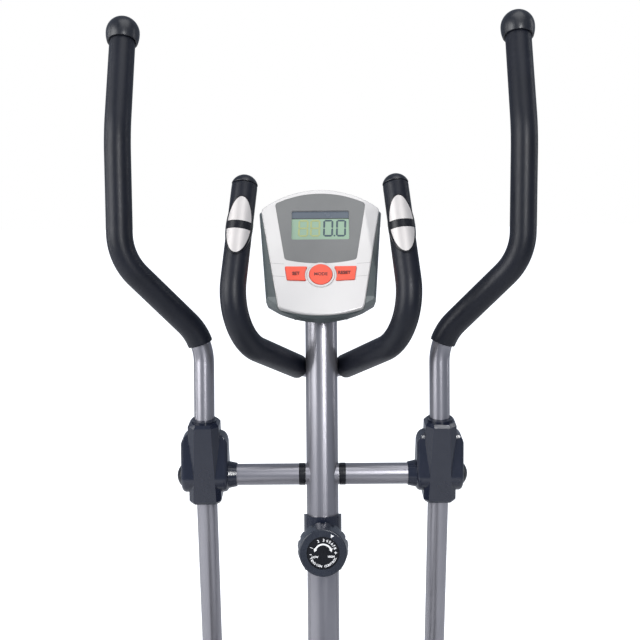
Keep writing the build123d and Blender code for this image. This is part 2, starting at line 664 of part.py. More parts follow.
def drive_tower():
    """The crank's bearing tube on its post and the two plates that carry the flywheel, welded to the beam."""
    post = block(-15, 15, crank_y - 22, crank_y + 22, beam_top, crank_z)
    room = block(-12.5, 12.5, crank_y - 19.5, crank_y + 19.5, beam_top - 1, crank_z - bearing_tube_r)
    shell = x_rod(bearing_tube_r, -bearing_tube_half, bearing_tube_half, crank_y, crank_z)
    tower = post - room + shell - x_rod(crank_axle_r + 2, -60, 60, crank_y, crank_z)
    for s in (-1, 1):
        ends = sorted((s * (bearing_tube_half - bearing_width), s * (bearing_tube_half + 5)))
        tower -= x_rod(bearing_r, ends[0], ends[1], crank_y, crank_z)
    foot = block(bracket_left, bracket_right, flywheel_y - 34, flywheel_y + 34, beam_top, beam_top + bracket_plate)
    py, pz = magnet_pivot()
    eye = hull(Pos(flywheel_y, flywheel_z) * Circle(18), Pos(flywheel_y, beam_top + 2) * Rectangle(68, 4))
    stay = hull(Pos(flywheel_y, flywheel_z) * Circle(18), Pos(py, pz) * Circle(12))
    left = Pos(bracket_left + bracket_plate / 2, 0, 0) * extrude(
        Plane.YZ * (eye + stay), amount=bracket_plate / 2, both=True)
    right = Pos(bracket_right - bracket_plate / 2, 0, 0) * extrude(
        Plane.YZ * eye, amount=bracket_plate / 2, both=True)
    plates = foot + left + right - x_rod(flywheel_axle_r, -80, 80, flywheel_y, flywheel_z)
    return [tower, plates - x_rod(magnet_pin_r, -80, 0, py, pz)]


def crank_bearings():
    return [x_tube(bearing_r, crank_axle_r + running_gap, s * (bearing_tube_half - bearing_width),
                   s * bearing_tube_half, crank_y, crank_z) for s in (-1, 1)]


def drive_pins():
    """The flywheel's fixed axle with its nuts, and the pin of the magnet yoke."""
    y, z = flywheel_y, flywheel_z
    axle = x_rod(flywheel_axle_r, bracket_left - 6, bracket_right + 6, y, z)
    axle += x_rod(10, bracket_left - 5, bracket_left, y, z) + x_rod(10, bracket_right, bracket_right + 5, y, z)
    py, pz = magnet_pivot()
    pin = x_rod(magnet_pin_r, bracket_left - 3, 4, py, pz) + x_rod(7, bracket_left - 3, bracket_left, py, pz)
    pin += x_rod(7, 1, 4, py, pz)
    return [axle, pin]


def casing_outline(shrink=0.0):
    disc = [Pos(crank_y, crank_z) * Circle(casing_crank_r - shrink),
            Pos(flywheel_y, flywheel_z) * Circle(casing_wheel_r - shrink)]
    foot_low = casing_bottom + shrink
    left_y, right_y = flywheel_y - casing_wheel_r * 0.7 + shrink, crank_y + casing_crank_r * 0.8 - shrink
    foot = Pos((left_y + right_y) / 2, foot_low + 30) * Rectangle(right_y - left_y, 60)
    return hull(*disc, foot)


def casing():
    """The drive's moulded casing, whole; it is parted down the middle."""
    body = extrude(Plane.YZ * casing_outline(), amount=casing_half, both=True)
    body = fillet(body.edges().group_by(Axis.X)[0] + body.edges().group_by(Axis.X)[-1], casing_round)
    room = extrude(Plane.YZ * casing_outline(casing_wall), amount=casing_half - casing_wall, both=True)
    room = fillet(room.edges().group_by(Axis.X)[0] + room.edges().group_by(Axis.X)[-1], casing_round - casing_wall)
    body -= room
    body -= x_rod(crank_axle_r + 2.5, -100, 100, crank_y, crank_z)
    return body - block(-beam_half_width, beam_half_width, -700, 0, beam_bottom, beam_top)


# ==== frame ================================================================================================
def main_beam():
    """The long box-section beam with a welded saddle over each stabiliser."""
    w = beam_half_width
    y0, y1 = stabiliser_rear_y - saddle_half_y, stabiliser_front_y + saddle_half_y
    beam = block(-w, w, y0, y1, beam_bottom, beam_top)
    beam -= block(beam_wall - w, w - beam_wall, y0 - 1, y1 + 1, beam_bottom + beam_wall, beam_top - beam_wall)
    for y in (stabiliser_rear_y, stabiliser_front_y):
        beam += block(-saddle_half_x, saddle_half_x, y - saddle_half_y, y + saddle_half_y,
                      stabiliser_z, beam_bottom)
        beam -= x_rod(stabiliser_r + 0.05, -80, 80, y, stabiliser_z)
        for x in (-stabiliser_bolt_x, stabiliser_bolt_x):
            beam -= Pos(x, y, stabiliser_z) * Cylinder(stabiliser_bolt_r + slide_gap, 80)
    return beam


def beam_plugs():
    w = beam_half_width - beam_wall - 0.1
    low, high = beam_bottom + beam_wall + 0.1, beam_top - beam_wall - 0.1
    y0, y1 = stabiliser_rear_y - saddle_half_y, stabiliser_front_y + saddle_half_y
    return [block(-w, w, y0, y0 + 12, low, high) + block(-w - 2, w + 2, y0 - 2.5, y0, low - 2, high + 2),
            block(-w, w, y1 - 12, y1, low, high) + block(-w - 2, w + 2, y1, y1 + 2.5, low - 2, high + 2)]


def stabiliser(y):
    half = stabiliser_length / 2 - foot_cap_end
    tube = x_tube(stabiliser_r, stabiliser_r - stabiliser_wall, -half, half, y, stabiliser_z)
    for x in (-stabiliser_bolt_x, stabiliser_bolt_x):
        tube -= Pos(x, y, stabiliser_z + 20) * Cylinder(stabiliser_bolt_r + slide_gap, 40)
    return tube


def stabiliser_bolts():
    made = []
    for y in (stabiliser_rear_y, stabiliser_front_y):
        for x in (-stabiliser_bolt_x, stabiliser_bolt_x):
            shank = Pos(x, y, (stabiliser_z + beam_bottom) / 2) * Cylinder(
                stabiliser_bolt_r, beam_bottom - stabiliser_z)
            head = Pos(x, y, beam_bottom + 2.5) * extrude(RegularPolygon(8, 6), amount=2.5, both=True)
            made.append(shank + head)
    return made


def foot_cap(y, wheel):
    """A moulded cap on a stabiliser's right end, flat on the floor, with a fork for a wheel if it has one."""
    start = stabiliser_length / 2 - foot_cap_length
    top = stabiliser_z + stabiliser_r + foot_cap_wall
    cap = block(start, stabiliser_length / 2, y - foot_half_width, y + foot_half_width, 0, top)
    cap = fillet(cap.edges().filter_by(Axis.X).group_by(Axis.Z)[-1], 20)
    cap = fillet(cap.edges().group_by(Axis.X)[-1].group_by(Axis.Z)[-1], 6)
    cap -= x_rod(stabiliser_r + 0.05, start - 1, stabiliser_length / 2 - foot_cap_end, y, stabiliser_z)
    if wheel:
        wy, wz = y + transport_wheel_reach, transport_wheel_r + transport_wheel_lift
        mid = stabiliser_length / 2 - foot_cap_length / 2
        half = transport_wheel_width / 2 + 1
        for s in (-1, 1):
            cheek = Pos(mid + s * (half + 2.5), 0, 0) * extrude(Plane.YZ * hull(
                Pos(wy, wz) * Circle(13), Pos(y + 10, wz) * Rectangle(8, 50)), amount=2.5, both=True)
            cap += cheek - x_rod(stabiliser_r + 0.05, start - 1, stabiliser_length / 2 - foot_cap_end, y, stabiliser_z)
        cap -= x_rod(transport_wheel_r + 1.5, mid - half, mid + half, wy, wz)
        cap -= x_rod(wheel_pin_r, mid - 40, mid + 40, wy, wz)
    return cap


def transport_wheel():
    y, z = stabiliser_front_y + transport_wheel_reach, transport_wheel_r + transport_wheel_lift
    mid, half = stabiliser_length / 2 - foot_cap_length / 2, transport_wheel_width / 2
    wheel = x_tube(transport_wheel_r, wheel_pin_r + running_gap, mid - half, mid + half, y, z)
    return fillet(wheel.edges().filter_by(GeomType.CIRCLE).group_by(SortBy.RADIUS)[-1], 2)


def wheel_pin():
    y, z = stabiliser_front_y + transport_wheel_reach, transport_wheel_r + transport_wheel_lift
    mid, reach = stabiliser_length / 2 - foot_cap_length / 2, transport_wheel_width / 2 + 6
    pin = x_rod(wheel_pin_r, mid - reach - 2, mid + reach + 2, y, z)
    return pin + x_rod(7, mid + reach, mid + reach + 3, y, z) + x_rod(7, mid - reach - 3, mid - reach, y, z)


def mast_cylinder(r, low, high):
    return mast_plane(0, (low + high) / 2, 0, "up") * Cylinder(r, high - low)


def face_plane(x=0.0, y=0.0, out=0.0):
    """A plane on the console's face: X right, Y up the face, Z out of it."""
    t = radians(console_lean)
    up_face = on_mast(0, cos(t), -sin(t)) - on_mast(0, 0, 0)
    normal = Vector(1, 0, 0).cross(up_face)
    origin = on_mast(x, console_up, console_out) + up_face * y + normal * out
    return Plane(origin, x_dir=(1, 0, 0), z_dir=normal)


def above_console_plate():
    """All space on the user's side of the plate under the console."""
    return face_plane(out=-front_depth - back_depth - plate_thickness + 300) * Box(900, 900, 600)


def mast():
    """The upright tube, cut square on the beam and slanting under the console, with a cross boss for the axle."""
    low = -(axle_height - beam_top) / cos(lean)
    tube = mast_cylinder(mast_r, low - 20, console_up + 60)
    tube -= mast_cylinder(mast_r - mast_wall, low - 30, console_up + 80)
    tube -= block(-100, 100, 0, 900, 0, beam_top)
    tube -= above_console_plate()
    tube += x_rod(boss_r, -boss_half, boss_half, axle_y, axle_height)
    return tube - x_rod(axle_r, -boss_half - 1, boss_half + 1, axle_y, axle_height)


def mast_socket():
    """A short outer tube with a foot plate, welded round the mast's foot."""
    low = -(axle_height - beam_top) / cos(lean)
    r = mast_r + 0.05
    tube = mast_cylinder(r + socket_wall, low - 20, low + socket_length)
    half_width = beam_half_width + 14
    plate = block(-half_width, half_width, mast_foot_y - 50, mast_foot_y + 50, beam_top, beam_top + 5)
    socket = tube - block(-100, 100, 0, 900, 0, beam_top) + plate
    return socket - mast_cylinder(r, low - 30, low + socket_length + 10)


def mast_cover():
    """A tapering moulded skirt over the mast's socket."""
    low = mast_foot_y
    height = 190.0
    foot = Plane.XY.offset(beam_top + 5.05) * Pos(0, low) * RectangleRounded(88, 128, 30)
    top = mast_plane(0, -(axle_height - beam_top) / cos(lean) + height, 0, "up") * Circle(mast_r + 6)
    inner_foot = Plane.XY.offset(beam_top + 5.04) * Pos(0, low) * RectangleRounded(82, 122, 27)
    inner_top = mast_plane(0, -(axle_height - beam_top) / cos(lean) + height - 3, 0, "up") * Circle(mast_r + 3.5)
    skirt = loft([foot, top]) - loft([inner_foot, inner_top])
    return skirt - mast_cylinder(mast_r + slide_gap, -900, -200)


def pivot_axle():
    """The cross axle through the mast, with a washer and a nut on each end."""
    washer = sleeve_end + outer_flange + face_gap
    axle = x_rod(axle_r, -washer - 8.3, washer + 8.3, axle_y, axle_height)
    for s in (-1, 1):
        axle += x_rod(nut_r, s * washer, s * (washer + 1.5), axle_y, axle_height)
        axle += Pos(s * (washer + 4.5), axle_y, axle_height) * extrude(
            Plane.YZ * RegularPolygon(nut_r - 0.5, 6), amount=3.2, both=True)
    return axle


# ==== fixed handlebar ======================================================================================
def fixed_path():
    right = [on_mast(*p) for p in (fixed_back, fixed_bend, fixed_tip)]
    left = [Vector(-p.X, p.Y, p.Z) for p in right]
    return FilletPolyline(left[2], left[1], left[0], right[0], right[1], right[2],
                          radius=[fixed_bend_r, fixed_back_bend_r, fixed_back_bend_r, fixed_bend_r])


def fixed_handlebar():
    return pipe(fixed_path(), fixed_r, fixed_r - fixed_wall)


def fixed_tip_plane():
    path = fixed_path()
    return Plane(path @ 1, x_dir=(1, 0, 0), z_dir=path % 1)


def fixed_grip():
    path = fixed_path()
    start = 0.5 + fixed_grip_start / path.length
    return pipe(path.trim(start, 1.0), fixed_r + fixed_foam, fixed_r + 0.02)


def fixed_cap():
    """A domed plug in the fixed handlebar's end."""
    dome_r = (fixed_cap_r ** 2 + fixed_cap_height ** 2) / (2 * fixed_cap_height)
    dome = Pos(0, 0, fixed_cap_skirt + fixed_cap_height - dome_r) * Sphere(dome_r)
    dome &= Pos(0, 0, 15) * Cylinder(fixed_cap_r, 30)
    dome += Pos(0, 0, fixed_cap_skirt / 2) * Cylinder(fixed_cap_r, fixed_cap_skirt)
    return fixed_tip_plane() * (dome + Pos(0, 0, -9) * Cylinder(fixed_r - fixed_wall - slide_gap, 20))


def sensor_frame():
    """A frame on the grip's axis at the sensor: Y along the grip, Z towards the user."""
    path = fixed_path()
    along = path % 1
    centre = path @ 1 - along * sensor_centre
    out_dir = on_mast(0, 0, 1) - on_mast(0, 0, 0)
    toward = (out_dir - along * out_dir.dot(along)).normalized()
    return Plane(centre, x_dir=along.cross(toward), z_dir=toward)


def sensor_shell(inner, outer, shape):
    """A part of a shell round the grip that lies under a flat shape seen from the user's side."""
    tube = Rot(90, 0, 0) * Cylinder(outer, 140) - Rot(90, 0, 0) * Cylinder(inner, 150)
    return sensor_frame() * (tube & extrude(shape, amount=60))


def sensor_bed():
    r = fixed_r + fixed_foam
    oval = Rot(0, 0, sensor_turn) * Ellipse(sensor_width / 2, sensor_length / 2)
    return sensor_shell(r + 0.02, r + sensor_wall, oval)


def sensor_plates():
    r = fixed_r + fixed_foam + sensor_wall
    oval = Rot(0, 0, sensor_turn) * Ellipse(sensor_width / 2 - plate_rim, sensor_length / 2 - plate_rim)
    return [sensor_shell(r + 0.01, r + plate_wall, oval & Pos(0, s * 40) * Rectangle(80, 80 - plate_band))
            for s in (-1, 1)]


def handlebar_saddle():
    """A clamp plate behind the mast that holds the fixed handlebar, with its two bolts."""
    up, out = fixed_back[1], fixed_back[2]
    body = Pos(0, -out / 2 + 4, 0) * Box(2 * saddle_half_width, -out + 18, 2 * saddle_half_height)
    body = mast_plane(0, up, 0, "up") * body
    body -= mast_cylinder(mast_r + 0.05, up - 80, up + 80)
    body -= mast_plane(0, up, 0, "up") * Pos(0, -40, 0) * Box(100, 80, 100)
    return body - pipe(fixed_path(), fixed_r + 0.05)


# ==== console ==============================================================================================
def console_outline(extra=0.0):
    """The face's outline: arched at the top, tapering to a curved foot."""
    x0, x1 = console_top_x + extra, console_foot_x + extra
    top = ThreePointArc((-x0, console_top_y + extra), (0, console_peak + extra), (x0, console_top_y + extra))
    foot = ThreePointArc((x1, console_foot_y - extra), (0, console_dip - extra), (-x1, console_foot_y - extra))
    edges = [top, Line(top @ 1, foot @ 0), foot, Line(foot @ 1, top @ 0)]
    face = make_face([e.edge() for e in edges])
    return fillet(face.vertices(), 9)


def fascia_outline():
    top = ThreePointArc((-fascia_top_x, fascia_top), (0, fascia_peak), (fascia_top_x, fascia_top))
    foot = ThreePointArc((fascia_foot_x, fascia_foot), (0, fascia_dip), (-fascia_foot_x, fascia_foot))
    edges = [top, Line(top @ 1, foot @ 0), foot, Line(foot @ 1, top @ 0)]
    return fillet(make_face([e.edge() for e in edges]).vertices(), 6)


def side_button_outline(side, grow=0.0):
    """The SET and RESET keys: a four-sided key hollowed round the middle key's ring."""
    corners = [(10.0, -27.5), (56.0, -27.0), (52.5, -51.0), (10.0, -53.0)]
    key = make_face(Polyline([(x * side, y) for x, y in corners], close=True).edges())
    key = fillet((key - Pos(0, mode_y) * Circle(ring_r + 2.5)).vertices(), 1.5)
    return offset(key, amount=grow) if grow else key


def console_front():
    """The silver front shell, with a seat for the fascia and openings for the three keys."""
    body = extrude(console_outline(), amount=-front_depth)
    body = fillet(body.edges().group_by(Axis.Z)[-1], face_round)
    body -= Pos(0, 0, -console_wall) * extrude(console_outline(-console_wall), amount=-front_depth)
    body -= Pos(0, 0, -fascia_depth) * extrude(offset(fascia_outline(), amount=0.1), amount=5)
    body -= extrude(window(0.0), amount=20, both=True)
    body -= Pos(0, mode_y, 0) * Cylinder(mode_r + button_gap, 40)
    for s in (-1, 1):
        body -= extrude(side_button_outline(s, button_gap), amount=20, both=True)
        for x, y in board_posts:
            post_length = board_depth - console_wall + 0.5
            body += Pos(s * x, y, -(board_depth + console_wall - 0.5) / 2) * Cylinder(3, post_length)
    return face_plane() * body


def window(grow):
    middle = (window_low + window_high) / 2
    return Pos(0, middle) * RectangleRounded(2 * (window_half_x + grow), window_high - window_low + 2 * grow, 3)


def fascia():
    return face_plane() * (Pos(0, 0, -fascia_depth) * extrude(fascia_outline() - window(0), amount=fascia_depth))


def lcd():
    """The display glass behind the window."""
    return face_plane() * (Pos(0, 0, -console_wall - 4.2) * extrude(window(3.0), amount=4.0))


def mode_ring():
    ring = Pos(0, 0, ring_height / 2) * Cone(ring_r, ring_r - 1.2, ring_height)
    return face_plane(y=mode_y) * (ring - Cylinder(mode_r + button_gap, 4 * ring_height))


def button_mode():
    return face_plane(y=mode_y) * (
        Pos(0, 0, (button_height - 5) / 2) * Cylinder(mode_r, button_height + 5)
        + Pos(0, 0, -5 - 0.8) * Cylinder(mode_r + 2, 1.6))


def side_button(side):
    key = Pos(0, 0, -5) * extrude(side_button_outline(side), amount=button_height + 4)
    return face_plane() * (key + Pos(0, 0, -6.6) * extrude(side_button_outline(side, 1.2), amount=1.6))


def circuit_board():
    board = block(-50, 50, -68, 94, -board_depth - 1.6, -board_depth)
    parts = [Pos(0, mode_y, -board_depth + 0.5) * Cylinder(4, 1.2)]
    for s in (-1, 1):
        parts.append(Pos(s * 38, mode_y, -board_depth + 0.5) * Cylinder(4, 1.2))
    for part in parts:
        board += part
    return face_plane() * board


def back_outline(shrink=0.0):
    """The back shell's outline: wider than the face at its foot, where the side panels stand."""
    top = ThreePointArc((shrink - back_top_x, back_top_y - shrink), (0, back_peak - shrink),
                        (back_top_x - shrink, back_top_y - shrink))
    foot = ThreePointArc((back_foot_x - shrink, back_foot_y + shrink), (0, back_dip + shrink),
                         (shrink - back_foot_x, back_foot_y + shrink))
    right = Polyline(top @ 1, (back_side_x - shrink, back_side_y + shrink), foot @ 0)
    left = Polyline(foot @ 1, (shrink - back_side_x, back_side_y + shrink), top @ 0)
    face = make_face([*top.edges(), *right.edges(), *foot.edges(), *left.edges()])
    return fillet(face.vertices(), 6)


def console_back():
    """The dark back shell, open at the front, wider than the silver shell at its foot."""
    wall, bend = console_wall, 16.0
    depths = (-front_depth, -front_depth - bend, -front_depth - back_depth)
    outer = [Pos(0, 0, z) * back_outline(shrink) for z, shrink in zip(depths, (0.0, 1.5, 24.0))]
    inner = [Pos(0, 0, z) * back_outline(shrink) for z, shrink in
             zip((depths[0] + 0.01, depths[1], depths[2] + wall), (wall, wall + 1.5, wall + 24.0))]
    body = loft(outer[:2]) + loft(outer[1:]) - loft(inner[:2]) - loft(inner[1:])
    cheeks = loft([Pos(0, 0, -front_depth) * back_outline(), Pos(0, 0, -cheek_depth) * back_outline(cheek_slope)])
    return face_plane() * (body + cheeks - extrude(console_outline(0.3), amount=-front_depth))


def console_plate():
    """A steel plate welded slanting on the mast's top, under the console, with its four screws."""
    depth = front_depth + back_depth
    plate = Pos(0, -40, -depth - plate_thickness / 2) * Box(84, 110, plate_thickness)
    return face_plane() * plate


# ==== tension control ======================================================================================
def knob_plane(out):
    return mast_plane(0, -knob_drop, out, "out")


def tension_saddle():
    """A moulded half-round saddle strapped on the mast with a hub and a fixed post for the knob."""
    r = mast_r + 0.05
    height = tension_saddle_top + tension_saddle_bottom
    middle = -knob_drop + (tension_saddle_top - tension_saddle_bottom) / 2
    body = mast_cylinder(r + tension_saddle_wall, middle - height / 2, middle + height / 2)
    body -= mast_plane(0, middle, -50, "up") * Box(200, 100, 200)
    body += knob_plane((knob_back + mast_r) / 2) * Cylinder(24, knob_back - mast_r)
    post = knob_plane((mast_r + knob_front - 3.5) / 2) * Cylinder(knob_bore - running_gap, knob_front - 3.5 - mast_r)
    return body + post - mast_cylinder(r, -400, 100)


def tension_knob():
    """A ribbed dial knob with a recess for the scale."""
    length = knob_front - knob_back - face_gap
    centre = knob_back + face_gap + length / 2
    knob = Cone(knob_back_r, knob_front_r, length)
    knob = fillet(knob.edges().group_by(Axis.Z)[-1], 2.5)
    for i in range(knob_ribs):
        angle = 360 / knob_ribs * i
        knob -= Rot(0, 0, angle) * Pos(knob_back_r + 3.2, 0, -3) * Cylinder(5.0, length - 4)
    knob -= Pos(0, 0, length / 2) * Cylinder(dial_r + 0.3, 2 * dial_recess)
    knob -= Pos(0, 0, -length / 2 + 4) * Cylinder(knob_front_r - 5, 24)
    knob += Cylinder(knob_bore + 4, length - 2 * dial_recess)
    return knob_plane(centre) * (knob - Cylinder(knob_bore, 100))


def tension_dial():
    """The fixed scale disc on the post's end."""
    return knob_plane(knob_front - 1.6 - 0.5) * Cylinder(dial_r, 1.8)


# ==== making the files =====================================================================================
def make_arms():
    front, back = pivot_cover_halves()
    pieces = {"swing_arm": [swing_tube()], "upper_handlebar": [handlebar()], "hand_grip": [hand_grip()],
              "ball_cap": [ball_cap()], "pivot_cover_front": [front], "pivot_cover_back": [back],
              "pivot_fittings": [*pivot_bushes(), *joint_bushes(), end_dome()]}
    for name, shapes in pieces.items():
        for side, sign in SIDES.items():
            placed = [swung(s, sign) for s in shapes]
            save(f"{side}_{name}", *[mirrored(s) if sign < 0 else s for s in placed])


def make_linkage():
    for side, sign in SIDES.items():
        pieces = {"pedal_bar": [pedal_bar(sign), *pedal_brackets(sign)], "pedal": [pedal(sign)],
                  "bar_pins": [joint_bolt(sign), crank_pin(sign), *crank_pin_bushes(sign)],
                  "crank_arm": [crank_arm(sign)]}
        for name, shapes in pieces.items():
            save(f"{side}_{name}", *[mirrored(s) if sign < 0 else s for s in shapes])


def make_drive():
    save("crank_axle", x_rod(crank_axle_r, -crank_outer, crank_outer, crank_y, crank_z))
    save("crank_pulley", crank_pulley())
    save("drive_tower", *drive_tower(), idler_bracket())
    save("drive_fittings", *drive_pins(), *crank_bearings())
    save("flywheel", flywheel(), small_pulley())
    save("belt", belt())
    save("idler_pulley", idler_pulley())
    save("magnet_bracket", magnet_bracket(), *magnets())
    whole = casing()
    save("right_casing", split(whole, bisect_by=Plane.YZ, keep=Keep.TOP))
    save("left_casing", split(whole, bisect_by=Plane.YZ, keep=Keep.BOTTOM))


def make_frame():
    save("main_beam", main_beam())
    save("mast_socket", mast_socket())
    save("mast", mast(), console_plate())
    save("mast_cover", mast_cover())
    save("pivot_axle", pivot_axle())
    save("stabilisers", stabiliser(stabiliser_rear_y), stabiliser(stabiliser_front_y))
    front, back = foot_cap(stabiliser_front_y, True), foot_cap(stabiliser_rear_y, False)
    save("feet", front, mirrored(front), back, mirrored(back), *beam_plugs())
    save("right_transport_wheel", transport_wheel())
    save("left_transport_wheel", mirrored(transport_wheel()))
    save("base_fasteners", *stabiliser_bolts(), wheel_pin(), mirrored(wheel_pin()))


def make_top():
    save("fixed_handlebar", fixed_handlebar())
    save("handlebar_saddle", handlebar_saddle())
    for name, shapes in (("fixed_grips", [fixed_grip()]), ("fixed_caps", [fixed_cap()]),
                         ("sensor_beds", [sensor_bed()]), ("sensor_plates", sensor_plates())):
        save(name, *shapes, *[mirrored(s) for s in shapes])
    save("console_front", console_front())
    save("mode_ring", mode_ring())
    save("console_fascia", fascia())
    save("console_lcd", lcd())
    save("console_back", console_back())
    save("circuit_board", circuit_board())
    save("button_mode", button_mode())
    save("button_set", side_button(-1))
    save("button_reset", side_button(1))
    save("tension_saddle", tension_saddle())
    save("tension_knob", tension_knob())
    save("tension_dial", tension_dial())


os.makedirs(OUT, exist_ok=True)
make_arms()
make_linkage()
make_drive()
make_frame()
make_top()
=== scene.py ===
"""A rear-drive elliptical trainer, finished piece by piece in the order that it is put together."""
import json
from math import cos, pi, radians, sin
import bpy
from mathutils import Matrix, Vector


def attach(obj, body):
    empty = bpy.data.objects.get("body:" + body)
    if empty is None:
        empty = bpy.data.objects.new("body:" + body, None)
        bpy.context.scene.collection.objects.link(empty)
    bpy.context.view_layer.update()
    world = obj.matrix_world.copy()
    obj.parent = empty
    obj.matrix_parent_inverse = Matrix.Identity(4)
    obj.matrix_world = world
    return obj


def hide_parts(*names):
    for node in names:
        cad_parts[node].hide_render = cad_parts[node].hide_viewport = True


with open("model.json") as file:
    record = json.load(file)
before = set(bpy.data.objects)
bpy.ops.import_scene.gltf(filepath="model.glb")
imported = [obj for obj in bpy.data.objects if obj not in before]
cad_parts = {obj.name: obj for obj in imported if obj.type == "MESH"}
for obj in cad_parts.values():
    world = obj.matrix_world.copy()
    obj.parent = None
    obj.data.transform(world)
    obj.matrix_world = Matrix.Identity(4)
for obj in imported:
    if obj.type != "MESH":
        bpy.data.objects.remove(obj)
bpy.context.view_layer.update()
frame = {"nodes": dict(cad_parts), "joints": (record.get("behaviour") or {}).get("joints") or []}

# ---- stabiliser bars -------------------------------------------------------------------------------------
# Two cross tubes of drawn steel that the machine stands on, one at each end. They are cut square, bolted
# under the main beam through saddles and powder coated in pewter metallic paint, like the rest of the frame.


def shader_group(name, inputs, outputs):
    """A shared shader group with named sockets; each input has its name, kind and first value."""
    tree = bpy.data.node_groups.new(name, "ShaderNodeTree")
    for label, kind, value in inputs:
        tree.interface.new_socket(name=label, in_out="INPUT", socket_type=kind).default_value = value
    for label, kind in outputs:
        tree.interface.new_socket(name=label, in_out="OUTPUT", socket_type=kind)
    return tree, tree.nodes.new("NodeGroupInput"), tree.nodes.new("NodeGroupOutput")


def noise_in(tree, scale, detail, stretch=(1, 1, 1)):
    """A noise field fixed to the piece; scale is a number or the socket that gives it."""
    place = tree.nodes.new("ShaderNodeTexCoord")
    spread = tree.nodes.new("ShaderNodeMapping")
    spread.inputs["Scale"].default_value = stretch
    field = tree.nodes.new("ShaderNodeTexNoise")
    field.inputs["Detail"].default_value = detail
    tree.links.new(place.outputs["Object"], spread.inputs["Vector"])
    tree.links.new(spread.outputs["Vector"], field.inputs["Vector"])
    if isinstance(scale, (int, float)):
        field.inputs["Scale"].default_value = scale
    else:
        tree.links.new(scale, field.inputs["Scale"])
    return field.outputs["Fac"]


def scaled(tree, field, low, high):
    """The field's middle range stretched to low..high, which are numbers or sockets."""
    reach = tree.nodes.new("ShaderNodeMapRange")
    reach.inputs["From Min"].default_value = 0.3
    reach.inputs["From Max"].default_value = 0.7
    tree.links.new(field, reach.inputs["Value"])
    for end, label in ((low, "To Min"), (high, "To Max")):
        if isinstance(end, (int, float)):
            reach.inputs[label].default_value = end
        else:
            tree.links.new(end, reach.inputs[label])
    return reach.outputs["Result"]


def blended(tree, mask, first, second):
    """Two colour sockets blended by a mask."""
    mix = tree.nodes.new("ShaderNodeMix")
    mix.data_type = "RGBA"
    tree.links.new(mask, mix.inputs["Factor"])
    tree.links.new(first, mix.inputs["A"])
    tree.links.new(second, mix.inputs["B"])
    return mix.outputs["Result"]


# Handling wears every surface a little unevenly: cloudy patches shift the colour and fine scuffs dull the
# gloss.
handled, given, made = shader_group(
    "handled surface",
    [("Colour", "NodeSocketColor", (0.5, 0.5, 0.5, 1)),
     ("Worn Colour", "NodeSocketColor", (0.4, 0.4, 0.4, 1)),
     ("Patch Scale", "NodeSocketFloat", 8.0), ("Scuff Scale", "NodeSocketFloat", 120.0),
     ("Gloss", "NodeSocketFloat", 0.3), ("Scuffed", "NodeSocketFloat", 0.4)],
    [("Color", "NodeSocketColor"), ("Roughness", "NodeSocketFloat")])
patches = scaled(handled, noise_in(handled, given.outputs["Patch Scale"], 4), 0.0, 1.0)
handled.links.new(blended(handled, patches, given.outputs["Colour"], given.outputs["Worn Colour"]),
                  made.inputs["Color"])
scuffs = noise_in(handled, given.outputs["Scuff Scale"], 6, (1, 1, 0.25))
handled.links.new(scaled(handled, scuffs, given.outputs["Gloss"], given.outputs["Scuffed"]),
                  made.inputs["Roughness"])

# Moulded and sprayed surfaces have a fine pebbled skin: small soft cells broken up by noise.
pebbled, given, made = shader_group("pebbled skin", [("Cell Scale", "NodeSocketFloat", 900.0)],
                                    [("Height", "NodeSocketFloat")])
place = pebbled.nodes.new("ShaderNodeTexCoord")
cells = pebbled.nodes.new("ShaderNodeTexVoronoi")
cells.feature = "SMOOTH_F1"
pebbled.links.new(place.outputs["Object"], cells.inputs["Vector"])
pebbled.links.new(given.outputs["Cell Scale"], cells.inputs["Scale"])
mixed = pebbled.nodes.new("ShaderNodeMath")
mixed.operation = "MULTIPLY_ADD"
mixed.inputs[1].default_value = 0.5
pebbled.links.new(noise_in(pebbled, given.outputs["Cell Scale"], 3), mixed.inputs[0])
pebbled.links.new(cells.outputs["Distance"], mixed.inputs[2])
pebbled.links.new(mixed.outputs["Value"], made.inputs["Height"])


def coating(name, colour, worn, gloss, scuffed, patches=8.0, scuffs=120.0, cells=900.0, depth=0.0,
            metallic=0.0, coat=0.0, coat_gloss=0.05, specular=0.5):
    """A finish with a handled surface and a pebbled skin; depth is the skin's relief in metres."""
    material = bpy.data.materials.new(name)
    material.use_nodes = True
    tree = material.node_tree
    shader = tree.nodes["Principled BSDF"]
    wear = tree.nodes.new("ShaderNodeGroup")
    wear.node_tree = handled
    wear.inputs["Colour"].default_value = (*colour, 1)
    wear.inputs["Worn Colour"].default_value = (*worn, 1)
    wear.inputs["Patch Scale"].default_value = patches
    wear.inputs["Scuff Scale"].default_value = scuffs
    wear.inputs["Gloss"].default_value = gloss
    wear.inputs["Scuffed"].default_value = scuffed
    tree.links.new(wear.outputs["Color"], shader.inputs["Base Color"])
    tree.links.new(wear.outputs["Roughness"], shader.inputs["Roughness"])
    shader.inputs["Metallic"].default_value = metallic
    shader.inputs["Coat Weight"].default_value = coat
    shader.inputs["Coat Roughness"].default_value = coat_gloss
    shader.inputs["Specular IOR Level"].default_value = specular
    if depth:
        skin = tree.nodes.new("ShaderNodeGroup")
        skin.node_tree = pebbled
        skin.inputs["Cell Scale"].default_value = cells
        relief = tree.nodes.new("ShaderNodeBump")
        relief.inputs["Distance"].default_value = depth
        tree.links.new(skin.outputs["Height"], relief.inputs["Height"])
        tree.links.new(relief.outputs["Normal"], shader.inputs["Normal"])
    return material


def worked_on(piece):
    """Only this piece selected and active."""
    bpy.ops.object.select_all(action="DESELECT")
    piece.select_set(True)
    bpy.context.view_layer.objects.active = piece


